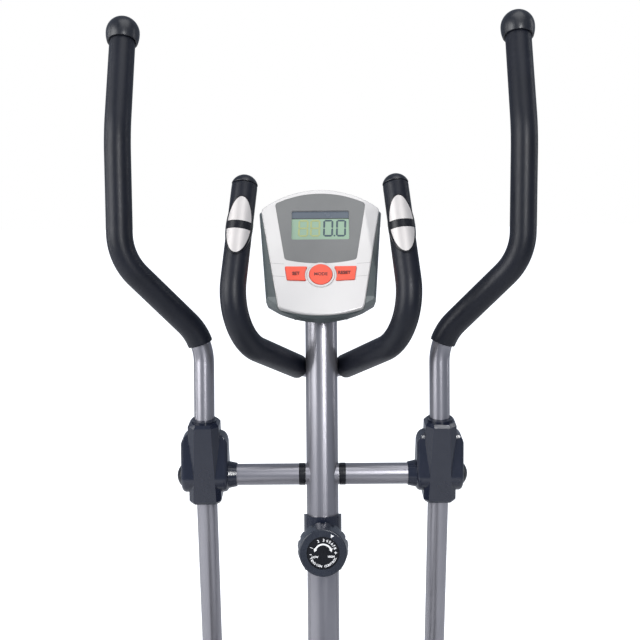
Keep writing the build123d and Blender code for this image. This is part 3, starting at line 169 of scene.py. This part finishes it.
def rounded(piece, rim, angle):
    """The piece's sharp rims rounded over and its curved faces shaded smooth."""
    worked_on(piece)
    if rim:
        edge = piece.modifiers.new("rims", "BEVEL")
        edge.width = rim
        edge.segments = 2
        edge.limit_method = "ANGLE"
        edge.angle_limit = radians(angle)
        bpy.ops.object.modifier_apply(modifier=edge.name)
    bpy.ops.object.shade_smooth_by_angle(angle=radians(angle))
    flat = piece.modifiers.new("flat faces stay flat", "WEIGHTED_NORMAL")
    flat.keep_sharp = True
    bpy.ops.object.modifier_apply(modifier=flat.name)


def finished(node, body, material, rim=0.0006, angle=32):
    """A part's own shape with its loose faces welded, its rims rounded and its finish on."""
    source = frame["nodes"][node]
    piece = bpy.data.objects.new(node + "_finished", source.data.copy())
    bpy.context.collection.objects.link(piece)
    worked_on(piece)
    bpy.ops.mesh.customdata_custom_splitnormals_clear()
    bpy.ops.object.mode_set(mode="EDIT")
    bpy.ops.mesh.select_all(action="SELECT")
    bpy.ops.mesh.remove_doubles(threshold=0.00001)
    bpy.ops.mesh.dissolve_limited(angle_limit=radians(0.3))
    bpy.ops.object.mode_set(mode="OBJECT")
    rounded(piece, rim, angle)
    piece.data.materials.clear()
    piece.data.materials.append(material)
    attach(piece, body)
    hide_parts(node)
    return piece


pewter_paint = coating("pewter metallic paint", (0.265, 0.260, 0.285), (0.245, 0.240, 0.265), 0.30, 0.34,
                       patches=14, scuffs=500, cells=2200, depth=0.000012, metallic=0.75, coat=0.30,
                       coat_gloss=0.10)
finished("stabilisers", "frame", pewter_paint)

# ---- end caps and feet -----------------------------------------------------------------------------------
# Moulded end caps in black polypropylene, pushed on the stabiliser bars, with flat soles; the front pair
# carries the transport wheels between cheeks. The skin has the usual fine spark-eroded grain.
black_moulding = coating("black moulded plastic", (0.020, 0.021, 0.024), (0.028, 0.029, 0.032), 0.42, 0.56,
                         patches=10, cells=1100, depth=0.00006)
finished("feet", "frame", black_moulding, rim=0.001)

# ---- transport wheels ------------------------------------------------------------------------------------
# Hard grey-black nylon wheels on steel pins, in the front end caps. The tread picks up scuffs from the floor.
wheel_nylon = coating("wheel nylon", (0.030, 0.031, 0.034), (0.075, 0.073, 0.070), 0.40, 0.62, patches=60,
                      scuffs=300, cells=700, depth=0.00008)
for side in ("left", "right"):
    finished(f"{side}_transport_wheel", f"{side}_wheel", wheel_nylon, rim=0.0015)

# ---- base fasteners --------------------------------------------------------------------------------------
# Zinc-plated carriage bolts, cap nuts and wheel pins. The plating is bright, with a faint turned grain.
bright_zinc = coating("bright zinc", (0.62, 0.62, 0.60), (0.50, 0.50, 0.49), 0.20, 0.36,
                      patches=90, scuffs=700, metallic=1.0)
finished("base_fasteners", "frame", bright_zinc, rim=0.0008)

# ---- main beam -------------------------------------------------------------------------------------------
# A rectangular steel tube along the floor with plugged ends, saddles welded under it and the mast's socket
# on top. It is painted after welding.
finished("main_beam", "frame", pewter_paint, rim=0.0016)
finished("mast_socket", "frame", pewter_paint, rim=0.001)

# ---- drive tower and its fittings ------------------------------------------------------------------------
# Folded steel brackets welded on the beam behind the mast, which carry the crank axle, the flywheel and the
# idler. They are hidden by the casing and have the same paint; the pins and bearings are plated.
finished("drive_tower", "frame", pewter_paint)
finished("drive_fittings", "frame", bright_zinc)

# ---- flywheel and its pulleys ----------------------------------------------------------------------------
# A cast iron flywheel with a turned rim, driven by a ribbed rubber belt from the large nylon crank pulley and
# kept tight by a small idler.
cast_iron = coating("cast iron", (0.115, 0.112, 0.110), (0.175, 0.168, 0.160), 0.38, 0.60,
                    patches=40, scuffs=220, cells=500, depth=0.00015, metallic=0.85)
finished("flywheel", "flywheel", cast_iron, rim=0.0012)
belt_rubber = coating("belt rubber", (0.016, 0.016, 0.017), (0.030, 0.029, 0.028), 0.62, 0.80, patches=70,
                      cells=1500, depth=0.00005)
finished("belt", "frame", belt_rubber)
finished("crank_pulley", "crankset", black_moulding, rim=0.001)
finished("idler_pulley", "idler", black_moulding, rim=0.001)
finished("magnet_bracket", "magnet_yoke", bright_zinc)

# ---- crank axle and crank arms ---------------------------------------------------------------------------
# A plain steel axle through the tower, with a flat steel crank arm clamped on each end, painted like the
# frame.
finished("crank_axle", "crankset", bright_zinc, rim=0.0005)
for side in ("left", "right"):
    finished(f"{side}_crank_arm", "crankset", pewter_paint, rim=0.0015)

# ---- drive casing ----------------------------------------------------------------------------------------
# Two moulded half shells in black plastic that close round the drive, screwed together along the middle. The
# large sides are grained, and each has a moulded ring round the crank axle.
for side in ("left", "right"):
    finished(f"{side}_casing", "frame", black_moulding, rim=0.0015)

# ---- mast and its cover ----------------------------------------------------------------------------------
# A round steel mast, 50.8 mm across, clamped in the beam's socket and leaning away from the user. Its upper
# end has a slanting plate for the console; a moulded sleeve hides the joint at its foot.
finished("mast", "frame", pewter_paint, rim=0.0004)
finished("mast_cover", "frame", black_moulding, rim=0.0015)

# ---- cross axle and swing arms ---------------------------------------------------------------------------
# A plated axle runs through the mast. The lower arms are steel tubes, each welded to a sleeve that turns on
# the axle, with a sleeve at the foot for the pedal bar's pin.
joints = {joint["name"]: joint for joint in frame["joints"]}
axle = Vector(joints["left_arm_swing"]["pos_m"])
finished("pivot_axle", "frame", bright_zinc, rim=0.0008)
for side in ("left", "right"):
    finished(f"{side}_swing_arm", f"{side}_arm", pewter_paint, rim=0.0005)

# ---- pivot bushes and end domes --------------------------------------------------------------------------
# Black nylon bushes in the sleeves, whose flanges part the moving arms from the mast, and a pressed dome over
# each nut on the outside.
nylon_black = coating("black nylon", (0.005, 0.0052, 0.0075), (0.008, 0.0085, 0.0115), 0.24, 0.34, patches=30,
                      scuffs=400, specular=0.28)
for side in ("left", "right"):
    finished(f"{side}_pivot_fittings", f"{side}_arm", nylon_black, rim=0.0008)

# ---- pivot covers ----------------------------------------------------------------------------------------
# A clamshell in gloss black plastic over each arm's pivot, front and rear halves snapped together. It has a
# flat front panel between slanting facets, an ear each side and a collar round the sleeve.
gloss_moulding = coating("gloss black plastic", (0.0085, 0.0110, 0.0215), (0.0110, 0.0140, 0.0265),
                         0.17, 0.26, patches=12, scuffs=260, cells=320, depth=0.00001)
for side in ("left", "right"):
    for half in ("front", "back"):
        finished(f"{side}_pivot_cover_{half}", f"{side}_arm", gloss_moulding,
                 rim=0.0009, angle=24)

# ---- upper handlebars ------------------------------------------------------------------------------------
# Bent steel tubes that plug into the swing arms inside the covers. They have the frame's pewter paint, and
# foam hides all but their lower ends.
for side in ("left", "right"):
    finished(f"{side}_upper_handlebar", f"{side}_arm", pewter_paint, rim=0.0003)

# ---- foam hand grips -------------------------------------------------------------------------------------
# Closed-cell foam sleeves slid over the handlebars while wet and left to dry on. The skin is matt, blue-black
# and full of fine pores, and it goes a little shiny where hands rub it.
foam = coating("grip foam", (0.0032, 0.0042, 0.0085), (0.0052, 0.0064, 0.0120), 0.36, 0.46,
               patches=22, scuffs=400, cells=1100, depth=0.00004, specular=0.30)


def foam_sleeve(node, body):
    """A sleeve remeshed evenly so that its ends and outside go soft, as foam does."""
    sleeve = finished(node, body, foam, rim=0)
    worked_on(sleeve)
    even = sleeve.modifiers.new("even", "REMESH")
    even.mode = "VOXEL"
    even.voxel_size = 0.0017
    bpy.ops.object.modifier_apply(modifier=even.name)
    soft = sleeve.modifiers.new("soft", "SMOOTH")
    soft.factor = 0.5
    soft.iterations = 7
    bpy.ops.object.modifier_apply(modifier=soft.name)
    bpy.ops.object.shade_smooth()


for side in ("left", "right"):
    foam_sleeve(f"{side}_hand_grip", f"{side}_arm")

# ---- ball caps -------------------------------------------------------------------------------------------
# A moulded ball on each moving handlebar's end, plugged into the tube, with a short skirt over the foam. The
# plastic is black with a satin sheen.
satin_moulding = coating("satin black plastic", (0.0045, 0.0055, 0.0095), (0.0065, 0.0078, 0.0125),
                         0.30, 0.40, patches=20, scuffs=300, cells=900, depth=0.00001)
for side in ("left", "right"):
    finished(f"{side}_ball_cap", f"{side}_arm", satin_moulding, rim=0.0006, angle=40)

# ---- pedal bars and their pins ---------------------------------------------------------------------------
# Steel tubes from the swing arms' feet back to the cranks, with a fork at the front and a sleeve at the rear,
# bent outwards on the way to clear the casing. The pins and their bushes are plated.
for side in ("left", "right"):
    finished(f"{side}_pedal_bar", f"{side}_pedal_bar", pewter_paint, rim=0.0006)
    finished(f"{side}_bar_pins", f"{side}_pedal_bar", bright_zinc, rim=0.0008)

# ---- pedals ----------------------------------------------------------------------------------------------
# Large footplates moulded in black plastic with a raised rim, screwed to brackets on the pedal bars. Rows of
# low ribs across the plate keep a shoe from slipping.
tread_rubber = coating("tread rubber", (0.024, 0.024, 0.026), (0.048, 0.047, 0.046), 0.60, 0.82, patches=34,
                       scuffs=200, cells=900, depth=0.00012)
for side in ("left", "right"):
    pedal = finished(f"{side}_pedal", f"{side}_pedal_bar", black_moulding, rim=0.0014)
    plate = max((f for f in pedal.data.polygons if f.normal.z > 0.8), key=lambda f: f.area)
    corners = [pedal.data.vertices[i].co for i in plate.vertices]
    level = plate.normal.copy()
    across = Vector((1, 0, 0))
    along = level.cross(across).normalized()
    reach = [c.dot(along) for c in corners]
    width = max(c.x for c in corners) - min(c.x for c in corners)
    middle = Vector(((max(c.x for c in corners) + min(c.x for c in corners)) / 2, 0, 0))
    height = corners[0].dot(level)
    rib_pitch, rib_width, rib_height = 0.0125, 0.005, 0.0016
    end_margin, side_margin = 0.05, 0.03
    rib_count = int((max(reach) - min(reach) - end_margin) / rib_pitch)
    bpy.ops.object.select_all(action="DESELECT")
    bpy.ops.mesh.primitive_cube_add(size=1)
    tread = bpy.context.object
    tread.name = f"{side}_pedal_tread"
    tread.data.transform(Matrix.Diagonal((width - side_margin, rib_width, 2 * rib_height, 1)))
    rounded(tread, 0.0009, 30)
    rows = tread.modifiers.new("rows", "ARRAY")
    rows.count = rib_count
    rows.use_relative_offset = False
    rows.use_constant_offset = True
    rows.constant_offset_displace = (0, rib_pitch, 0)
    bpy.ops.object.modifier_apply(modifier=rows.name)
    start = (max(reach) + min(reach) - (rib_count - 1) * rib_pitch) / 2
    seat = Matrix((across, along, level)).transposed().to_4x4()
    tread.data.transform(Matrix.Translation(middle + along * start + level * height) @ seat)
    tread.data.materials.append(tread_rubber)
    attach(tread, f"{side}_pedal_bar")

# ---- fixed handlebar -------------------------------------------------------------------------------------
# One bent tube behind the mast for both hands, held by a clamp plate and two bolts, with foam sleeves and a
# moulded plug in each end.
finished("fixed_handlebar", "frame", pewter_paint, rim=0.0003)
finished("handlebar_saddle", "frame", pewter_paint, rim=0.0008)
foam_sleeve("fixed_grips", "frame")
finished("fixed_caps", "frame", satin_moulding, rim=0.0006, angle=40)

# ---- hand pulse sensors ----------------------------------------------------------------------------------
# On each fixed grip lies a black oval bed with two thin plates of brushed stainless steel, which touch the
# palm.
finished("sensor_beds", "frame", nylon_black, rim=0.0006)
brushed, given, made = shader_group("brushed lines", [("Line Scale", "NodeSocketFloat", 60.0),
                                                      ("Fine", "NodeSocketFloat", 0.2),
                                                      ("Coarse", "NodeSocketFloat", 0.4)],
                                    [("Roughness", "NodeSocketFloat"), ("Height", "NodeSocketFloat")])
lines = noise_in(brushed, given.outputs["Line Scale"], 8, (1, 30, 30))
brushed.links.new(scaled(brushed, lines, given.outputs["Fine"], given.outputs["Coarse"]),
                  made.inputs["Roughness"])
brushed.links.new(lines, made.inputs["Height"])
stainless = coating("brushed stainless", (0.50, 0.475, 0.462), (0.47, 0.445, 0.432), 0.30, 0.40, patches=30,
                    metallic=0.35)
tree = stainless.node_tree
steel_shader = tree.nodes["Principled BSDF"]
grain = tree.nodes.new("ShaderNodeGroup")
grain.node_tree = brushed
grain.inputs["Line Scale"].default_value = 90
grain.inputs["Fine"].default_value = 0.38
grain.inputs["Coarse"].default_value = 0.52
relief = tree.nodes.new("ShaderNodeBump")
relief.inputs["Distance"].default_value = 0.00002
tree.links.new(grain.outputs["Roughness"], steel_shader.inputs["Roughness"])
tree.links.new(grain.outputs["Height"], relief.inputs["Height"])
tree.links.new(relief.outputs["Normal"], steel_shader.inputs["Normal"])
finished("sensor_plates", "frame", stainless, rim=0.0002)

# ---- console shells --------------------------------------------------------------------------------------
# The front shell is moulded in silver ABS with an arched top and a curved lower edge; the back shell, which
# closes its sides, is slate grey with a paler foot to each cheek. They are screwed together and to the mast.
toward_user = Vector(joints["tension_turn"]["axis"]).normalized()
right = Vector((1, 0, 0))
up_mast = toward_user.cross(right)
face_out = -Vector(joints["set_press"]["axis"]).normalized()
face_up = face_out.cross(right)
face_middle = axle + up_mast * 0.3534 + toward_user * 0.025    # beside the mast's top
face_seat = Matrix.Translation(face_middle) @ Matrix((right, face_up, face_out)).transposed().to_4x4()

silver_plastic = coating("silver plastic", (0.545, 0.530, 0.520), (0.52, 0.505, 0.495), 0.28, 0.36,
                         patches=16, scuffs=300, metallic=0.2)
slate_plastic = coating("slate plastic", (0.040, 0.052, 0.054), (0.048, 0.061, 0.063), 0.34, 0.44, patches=16,
                        scuffs=200, cells=1300, depth=0.00001)
finished("console_front", "frame", silver_plastic, rim=0.0016, angle=28)
back_shell = finished("console_back", "frame", slate_plastic, rim=0.0008, angle=24)

# The paler foot of each cheek is parted from the rest along a level line on the face.
parting, parting_depth, cheek_inside = -0.079, -0.010, 0.060
worked_on(back_shell)
bpy.ops.object.mode_set(mode="EDIT")
bpy.ops.mesh.select_all(action="SELECT")
bpy.ops.mesh.bisect(plane_co=face_seat @ Vector((0, parting, 0)), plane_no=face_up)
bpy.ops.object.mode_set(mode="OBJECT")
pale_slate = coating("pale slate plastic", (0.105, 0.120, 0.120), (0.120, 0.135, 0.135), 0.34, 0.44,
                     patches=16, scuffs=200)
back_shell.data.materials.append(pale_slate)
to_face = face_seat.inverted()
for panel in back_shell.data.polygons:
    here = to_face @ panel.center
    if here.y < parting and here.z > parting_depth and abs(here.x) > cheek_inside:
        panel.material_index = 1

# ---- circuit board ---------------------------------------------------------------------------------------
# The console's board stands on four posts inside the back shell, behind the display. It is glass fibre under
# a green lacquer.
green_board = coating("circuit board", (0.015, 0.085, 0.035), (0.02, 0.12, 0.05), 0.3, 0.4,
                      patches=150, scuffs=500)
finished("circuit_board", "frame", green_board, rim=0)

# ---- fascia ----------------------------------------------------------------------------------------------
# A charcoal plate in polycarbonate, let into the front shell round the display and held by its rim. Its face
# is smooth, with a dull gloss.
charcoal = coating("charcoal fascia", (0.128, 0.130, 0.128), (0.142, 0.144, 0.142), 0.30, 0.38,
                   patches=20, scuffs=260)
finished("console_fascia", "frame", charcoal, rim=0.0004)


def shape_on_face(name, corners, height, thickness, seat, material, body="frame"):
    """A thin flat shape laid on a face: a ring of corners in metres filled, raised and given a thickness."""
    bpy.ops.object.select_all(action="DESELECT")
    bpy.ops.mesh.primitive_circle_add(vertices=len(corners), radius=1, fill_type="NGON")
    shape = bpy.context.object
    shape.name = name
    for point, (x, y) in zip(shape.data.vertices, corners):
        point.co = (x, y, height)
    bpy.ops.object.mode_set(mode="EDIT")
    bpy.ops.mesh.select_all(action="SELECT")
    bpy.ops.mesh.extrude_region_move(TRANSFORM_OT_translate={"value": (0, 0, thickness)})
    bpy.ops.mesh.select_all(action="SELECT")
    bpy.ops.mesh.normals_make_consistent(inside=False)
    bpy.ops.object.mode_set(mode="OBJECT")
    shape.data.transform(seat)
    shape.data.materials.append(material)
    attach(shape, body)
    return shape


def joined(pieces, name):
    """Like pieces made one."""
    worked_on(pieces[0])
    for piece in pieces:
        piece.select_set(True)
    bpy.ops.object.join()
    pieces[0].name = name
    return pieces[0]


# ---- parting lines ---------------------------------------------------------------------------------------
# The band that carries the keys is let into the silver shell; its joints show as hairlines at both ends,
# falling slightly towards the keys.
joint_line = coating("parting line", (0.22, 0.215, 0.21), (0.26, 0.255, 0.25), 0.5, 0.6)
line_width = 0.0005
for side, way in (("left", -1), ("right", 1)):
    for outer, inner, high, low in ((0.0815, 0.0570, -0.0195, -0.0215), (0.0755, 0.0550, -0.0425, -0.0445)):
        ring = [(way * outer, high), (way * inner, low),
                (way * inner, low - line_width), (way * outer, high - line_width)]
        shape_on_face(f"parting_line_{side}_{high:.4f}", ring, 0.00002, 0.00008,
                      face_seat, joint_line)

# ---- display ---------------------------------------------------------------------------------------------
# A liquid crystal display behind the window: grey-green glass, a blue-black mask along its top edge, and
# seven-bar digits, the first two unlit and the last two showing 0.0.
lcd_glass = coating("display glass", (0.200, 0.310, 0.215), (0.225, 0.340, 0.235), 0.08, 0.14,
                    patches=9, scuffs=80)
finished("console_lcd", "frame", lcd_glass, rim=0.0003)
lcd_mask = coating("display mask", (0.052, 0.070, 0.095), (0.060, 0.080, 0.106), 0.2, 0.3)
lcd_line = coating("display line", (0.006, 0.006, 0.008), (0.010, 0.010, 0.012), 0.2, 0.3)
lit_bar = coating("display bars", (0.010, 0.036, 0.052), (0.014, 0.042, 0.060), 0.15, 0.25)
unlit_bar = coating("unlit display bars", (0.290, 0.330, 0.130), (0.300, 0.345, 0.140), 0.12, 0.2)
glass_top = -0.0026
window_half, window_top, mask_foot, line_foot = 0.0459, 0.0770, 0.0640, 0.0628
mask = [(-window_half, window_top), (-window_half, mask_foot),
        (window_half, mask_foot), (window_half, window_top)]
shape_on_face("display_mask", mask, glass_top, 0.0003, face_seat, lcd_mask)
line = [(-window_half, mask_foot), (-window_half, line_foot),
        (window_half, line_foot), (window_half, mask_foot)]
shape_on_face("display_line", line, glass_top, 0.00035, face_seat, lcd_line)


digit_foot, digit_height = 0.0310, 0.0285


def digit(left, width, bars, name, material):
    """A seven-bar digit; bars are numbered clockwise from the top, with the middle one last."""
    foot, height = digit_foot, digit_height
    slant, bar_width, gap = 0.0010, 0.0030, 0.0003
    x = (left, left + width)
    y = (foot, foot + height / 2, foot + height)
    ends = {0: (x[0], y[2], x[1], y[2]), 1: (x[1], y[2], x[1], y[1]), 2: (x[1], y[1], x[1], y[0]),
            3: (x[0], y[0], x[1], y[0]), 4: (x[0], y[1], x[0], y[0]), 5: (x[0], y[2], x[0], y[1]),
            6: (x[0], y[1], x[1], y[1])}
    made = []
    for bar in bars:
        a, b = Vector(ends[bar][:2]), Vector(ends[bar][2:])
        run = (b - a).normalized()
        off = Vector((-run.y, run.x)) * bar_width / 2
        a, b = a + run * gap, b - run * gap
        tip = run * bar_width / 2
        ring = [a, a + tip + off, b - tip + off, b, b - tip - off, a + tip - off]
        ring = [(p.x + slant * (p.y - foot) / height, p.y) for p in ring]
        made.append(shape_on_face(f"{name}_{bar}", ring, glass_top, 0.00025, face_seat, material))
    return made


unlit = digit(-0.0345, 0.0135, range(7), "ghost_a", unlit_bar)
unlit += digit(-0.0155, 0.0135, range(7), "ghost_b", unlit_bar)
joined(unlit, "display_unlit_digits")
shown = digit(0.0055, 0.0130, range(6), "digit_a", lit_bar)
shown += digit(0.0260, 0.0130, range(6), "digit_b", lit_bar)
dot_x, dot_y, dot_radius = 0.0223, 0.0312, 0.0015
dot = [(dot_x + dot_radius * cos(a * pi / 6), dot_y + dot_radius * sin(a * pi / 6)) for a in range(12)]
shown.append(shape_on_face("digit_dot", dot, glass_top, 0.00025, face_seat, lit_bar))
joined(shown, "display_digits")

# ---- keys ------------------------------------------------------------------------------------------------
# Three orange-red keys with moulded skins, standing a little proud of the silver shell. The middle one is
# round, in a raised silver ring, and the side ones are hollowed round it. Their names are in dark red ink.
finished("mode_ring", "frame", silver_plastic, rim=0.0005)
key_skin = coating("key plastic", (0.800, 0.088, 0.042), (0.730, 0.070, 0.034), 0.34, 0.46,
                   patches=60, scuffs=400, cells=1500, depth=0.00004)
for key in ("set", "mode", "reset"):
    finished(f"button_{key}", f"{key}_key", key_skin, rim=0.0008)
key_ink = coating("key ink", (0.095, 0.012, 0.010), (0.115, 0.016, 0.012), 0.4, 0.5)


def lettering(words, size, seat, material, body, name=None, weight=0.00018):
    """Printed words as a thin raised mesh, centred on the seat's own middle."""
    bpy.ops.object.select_all(action="DESELECT")
    bpy.ops.object.text_add()
    text = bpy.context.object
    text.data.body = words
    text.data.size = size
    text.data.align_x = "CENTER"
    text.data.align_y = "CENTER"
    text.data.extrude = 0.00006
    text.data.offset = weight
    text.data.resolution_u = 4
    bpy.ops.object.convert(target="MESH")
    text = bpy.context.object
    text.name = name or "lettering_" + words.lower().replace(" ", "_")
    text.data.transform(seat)
    text.data.materials.clear()
    text.data.materials.append(material)
    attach(text, body)
    return text


print_height = 0.00304    # of the ink above the face, on top of the keys
for words, key, x, y in (("SET", "set", -0.0385, -0.0405), ("MODE", "mode", 0.0, -0.042),
                         ("RESET", "reset", 0.0365, -0.0395)):
    here = face_seat @ Matrix.Translation((x, y, print_height))
    lettering(words, 0.0074, here, key_ink, f"{key}_key", weight=0.00026)

# ---- tension control: saddle and knob --------------------------------------------------------------------
# A moulded half-round saddle is strapped on the mast and carries a ribbed knob on a fixed post. The knob's
# face is a charcoal ring with a white arrow that points inwards at the scale.
finished("tension_saddle", "frame", gloss_moulding, rim=0.0012)
knob_plastic = coating("knob plastic", (0.014, 0.017, 0.026), (0.019, 0.023, 0.034), 0.24, 0.32,
                       patches=40, scuffs=300, cells=1700, depth=0.00001)
finished("tension_knob", "tension_knob", knob_plastic, rim=0.0007)
white_ink = coating("white ink", (0.80, 0.80, 0.80), (0.72, 0.72, 0.72), 0.4, 0.5)
knob_face = axle - up_mast * 0.1088 + toward_user * 0.075
knob_seat = Matrix.Translation(knob_face) @ Matrix((right, up_mast, toward_user)).transposed().to_4x4()


def clockwise(radius, angle):
    """A place on the dial, radius out, at an angle in degrees clockwise from its top."""
    return radius * sin(radians(angle)), radius * cos(radians(angle))


arrow_angle, arrow_size = 28, 0.0033
arrow_x, arrow_y = clockwise(0.0292, arrow_angle)
points = [clockwise(arrow_size, arrow_angle + turn) for turn in (180, 300, 60)]
arrow = [(arrow_x + dx, arrow_y + dy) for dx, dy in points]
shape_on_face("tension_arrow", arrow, -0.0001, 0.0002, knob_seat, white_ink, body="tension_knob")

# ---- tension scale ---------------------------------------------------------------------------------------
# The scale is a black disc fixed on the post, printed in white with the numbers 1 to 8, a curved arrow from
# minus to plus, LOW and HIGH, and the control's name round the foot.
finished("tension_dial", "frame", nylon_black, rim=0.0003)
dial_seat = Matrix.Translation(toward_user * -0.0012) @ knob_seat
printed = []
number_radius, name_radius, name_end = 0.0192, 0.0205, 66
bow_outer, bow_inner, bow_end, bow_tip = 0.0143, 0.0118, 62, 84
for number, angle in zip("12345678", (-66, -22, 3, 19, 32, 45, 56, 69)):
    x, y = clockwise(number_radius, angle)
    turn = Matrix.Rotation(radians(-angle), 4, "Z")
    printed.append(lettering(number, 0.0056, dial_seat @ Matrix.Translation((x, y, 0)) @ turn, white_ink,
                             "frame"))
for words, size, x, y in (("LOW", 0.0042, -0.0124, -0.0062), ("HIGH", 0.0042, 0.0124, -0.0058),
                          ("-", 0.0100, -0.0190, -0.0016), ("+", 0.0086, 0.0192, -0.0002)):
    printed.append(lettering(words, size, dial_seat @ Matrix.Translation((x, y, 0)), white_ink, "frame",
                             name="sign"))
for place, letter in enumerate("TENSION CONTROL"):
    if letter != " ":
        angle = 180 + name_end - place * 2 * name_end / 14
        x, y = clockwise(name_radius, angle)
        turn = Matrix.Rotation(radians(180 - angle), 4, "Z")
        printed.append(lettering(letter, 0.0046, dial_seat @ Matrix.Translation((x, y, 0)) @ turn, white_ink,
                                 "frame", name="letter"))
bow = [clockwise(bow_outer, a) for a in range(-bow_end, bow_end + 1, 4)]
bow += [clockwise(bow_inner, a) for a in range(bow_end, -bow_end - 1, -4)]
printed.append(shape_on_face("bow", bow, -0.0001, 0.0002, dial_seat, white_ink))
for way in (-1, 1):
    head = [clockwise(0.0103, way * bow_end), clockwise(0.0133, way * bow_tip),
            clockwise(0.0163, way * bow_end)]
    printed.append(shape_on_face("head", head[::-way], -0.0001, 0.0002, dial_seat, white_ink))
joined(printed, "tension_scale_print")

# ---- floor and surround ----------------------------------------------------------------------------------
# A plain white studio floor that the camera sees at full white, and a surround that is white to the camera
# and gives everything else a dim, cool fill.
bpy.ops.object.select_all(action="DESELECT")
bpy.ops.mesh.primitive_plane_add(size=60, location=(0, 0, 0))
floor = bpy.context.object
floor.name = "floor"
studio_floor = coating("studio floor", (0.93, 0.93, 0.93), (0.91, 0.91, 0.91), 0.85, 0.95)
tree = studio_floor.node_tree
floor_shader = tree.nodes["Principled BSDF"]
floor_shader.inputs["Emission Color"].default_value = (1, 1, 1, 1)
seen = tree.nodes.new("ShaderNodeLightPath")
tree.links.new(seen.outputs["Is Camera Ray"], floor_shader.inputs["Emission Strength"])
floor.data.materials.append(studio_floor)
world = bpy.data.worlds.new("studio")
world.use_nodes = True
tree = world.node_tree
backdrop = tree.nodes["Background"]
backdrop.inputs["Color"].default_value = (1, 1, 1, 1)
surround = tree.nodes.new("ShaderNodeBackground")
surround.inputs["Color"].default_value = (0.74, 0.83, 1, 1)
surround.inputs["Strength"].default_value = 0.38
seen = tree.nodes.new("ShaderNodeLightPath")
either = tree.nodes.new("ShaderNodeMixShader")
tree.links.new(seen.outputs["Is Camera Ray"], either.inputs[0])
tree.links.new(surround.outputs["Background"], either.inputs[1])
tree.links.new(backdrop.outputs["Background"], either.inputs[2])
tree.links.new(either.outputs["Shader"], tree.nodes["World Output"].inputs["Surface"])
bpy.context.scene.world = world
bpy.context.scene.view_settings.view_transform = "Standard"

# ---- lights ----------------------------------------------------------------------------------------------
# A large soft light on the left, a soft fill from above, a tall narrow strip beside the camera that draws the
# bright line down each tube, and a weak light on each flank.


def soft_light(name, place, aim, width, height, power):
    """A rectangular softbox at a place, turned to what it lights."""
    data = bpy.data.lights.new(name, "AREA")
    data.shape = "RECTANGLE"
    data.size = width
    data.size_y = height
    data.energy = power
    lamp = bpy.data.objects.new(name, data)
    bpy.context.collection.objects.link(lamp)
    lamp.location = place
    lamp.rotation_euler = (Vector(aim) - Vector(place)).to_track_quat("-Z", "Y").to_euler()
    lamp.visible_camera = False


aim = axle + up_mast * 0.246
soft_light("key", aim + Vector((-2.6, -1.6, 1.0)), aim, 2.0, 2.4, 88)
soft_light("top", aim + Vector((0.3, -0.6, 2.6)), aim, 2.0, 2.0, 28)
soft_light("strip", aim + Vector((0.62, -2.3, 0.9)), aim + up_mast * 0.05, 0.07, 1.3, 38)
soft_light("left rim", aim + Vector((-2.6, 0.3, 0.4)), aim, 0.5, 2.4, 14)
soft_light("right rim", aim + Vector((2.6, 0.5, 0.6)), aim, 0.4, 2.2, 9)

# ---- camera ----------------------------------------------------------------------------------------------
# It looks square at the mast from 1.52 m off, about 1.3 m above the floor, and is turned very slightly about
# its own axis.
spot = aim + toward_user * 1.52 - right * 0.0018
camera_data = bpy.data.cameras.new("camera")
camera_data.sensor_width = 36
camera_data.lens = 53.4375
camera = bpy.data.objects.new("camera", camera_data)
bpy.context.collection.objects.link(camera)
roll = radians(0.47)
up_view = up_mast * cos(roll) + right * sin(roll)
side_view = right * cos(roll) - up_mast * sin(roll)
facing = Matrix((side_view, up_view, toward_user)).transposed().to_4x4()
camera.matrix_world = Matrix.Translation(spot) @ facing
bpy.context.scene.camera = camera
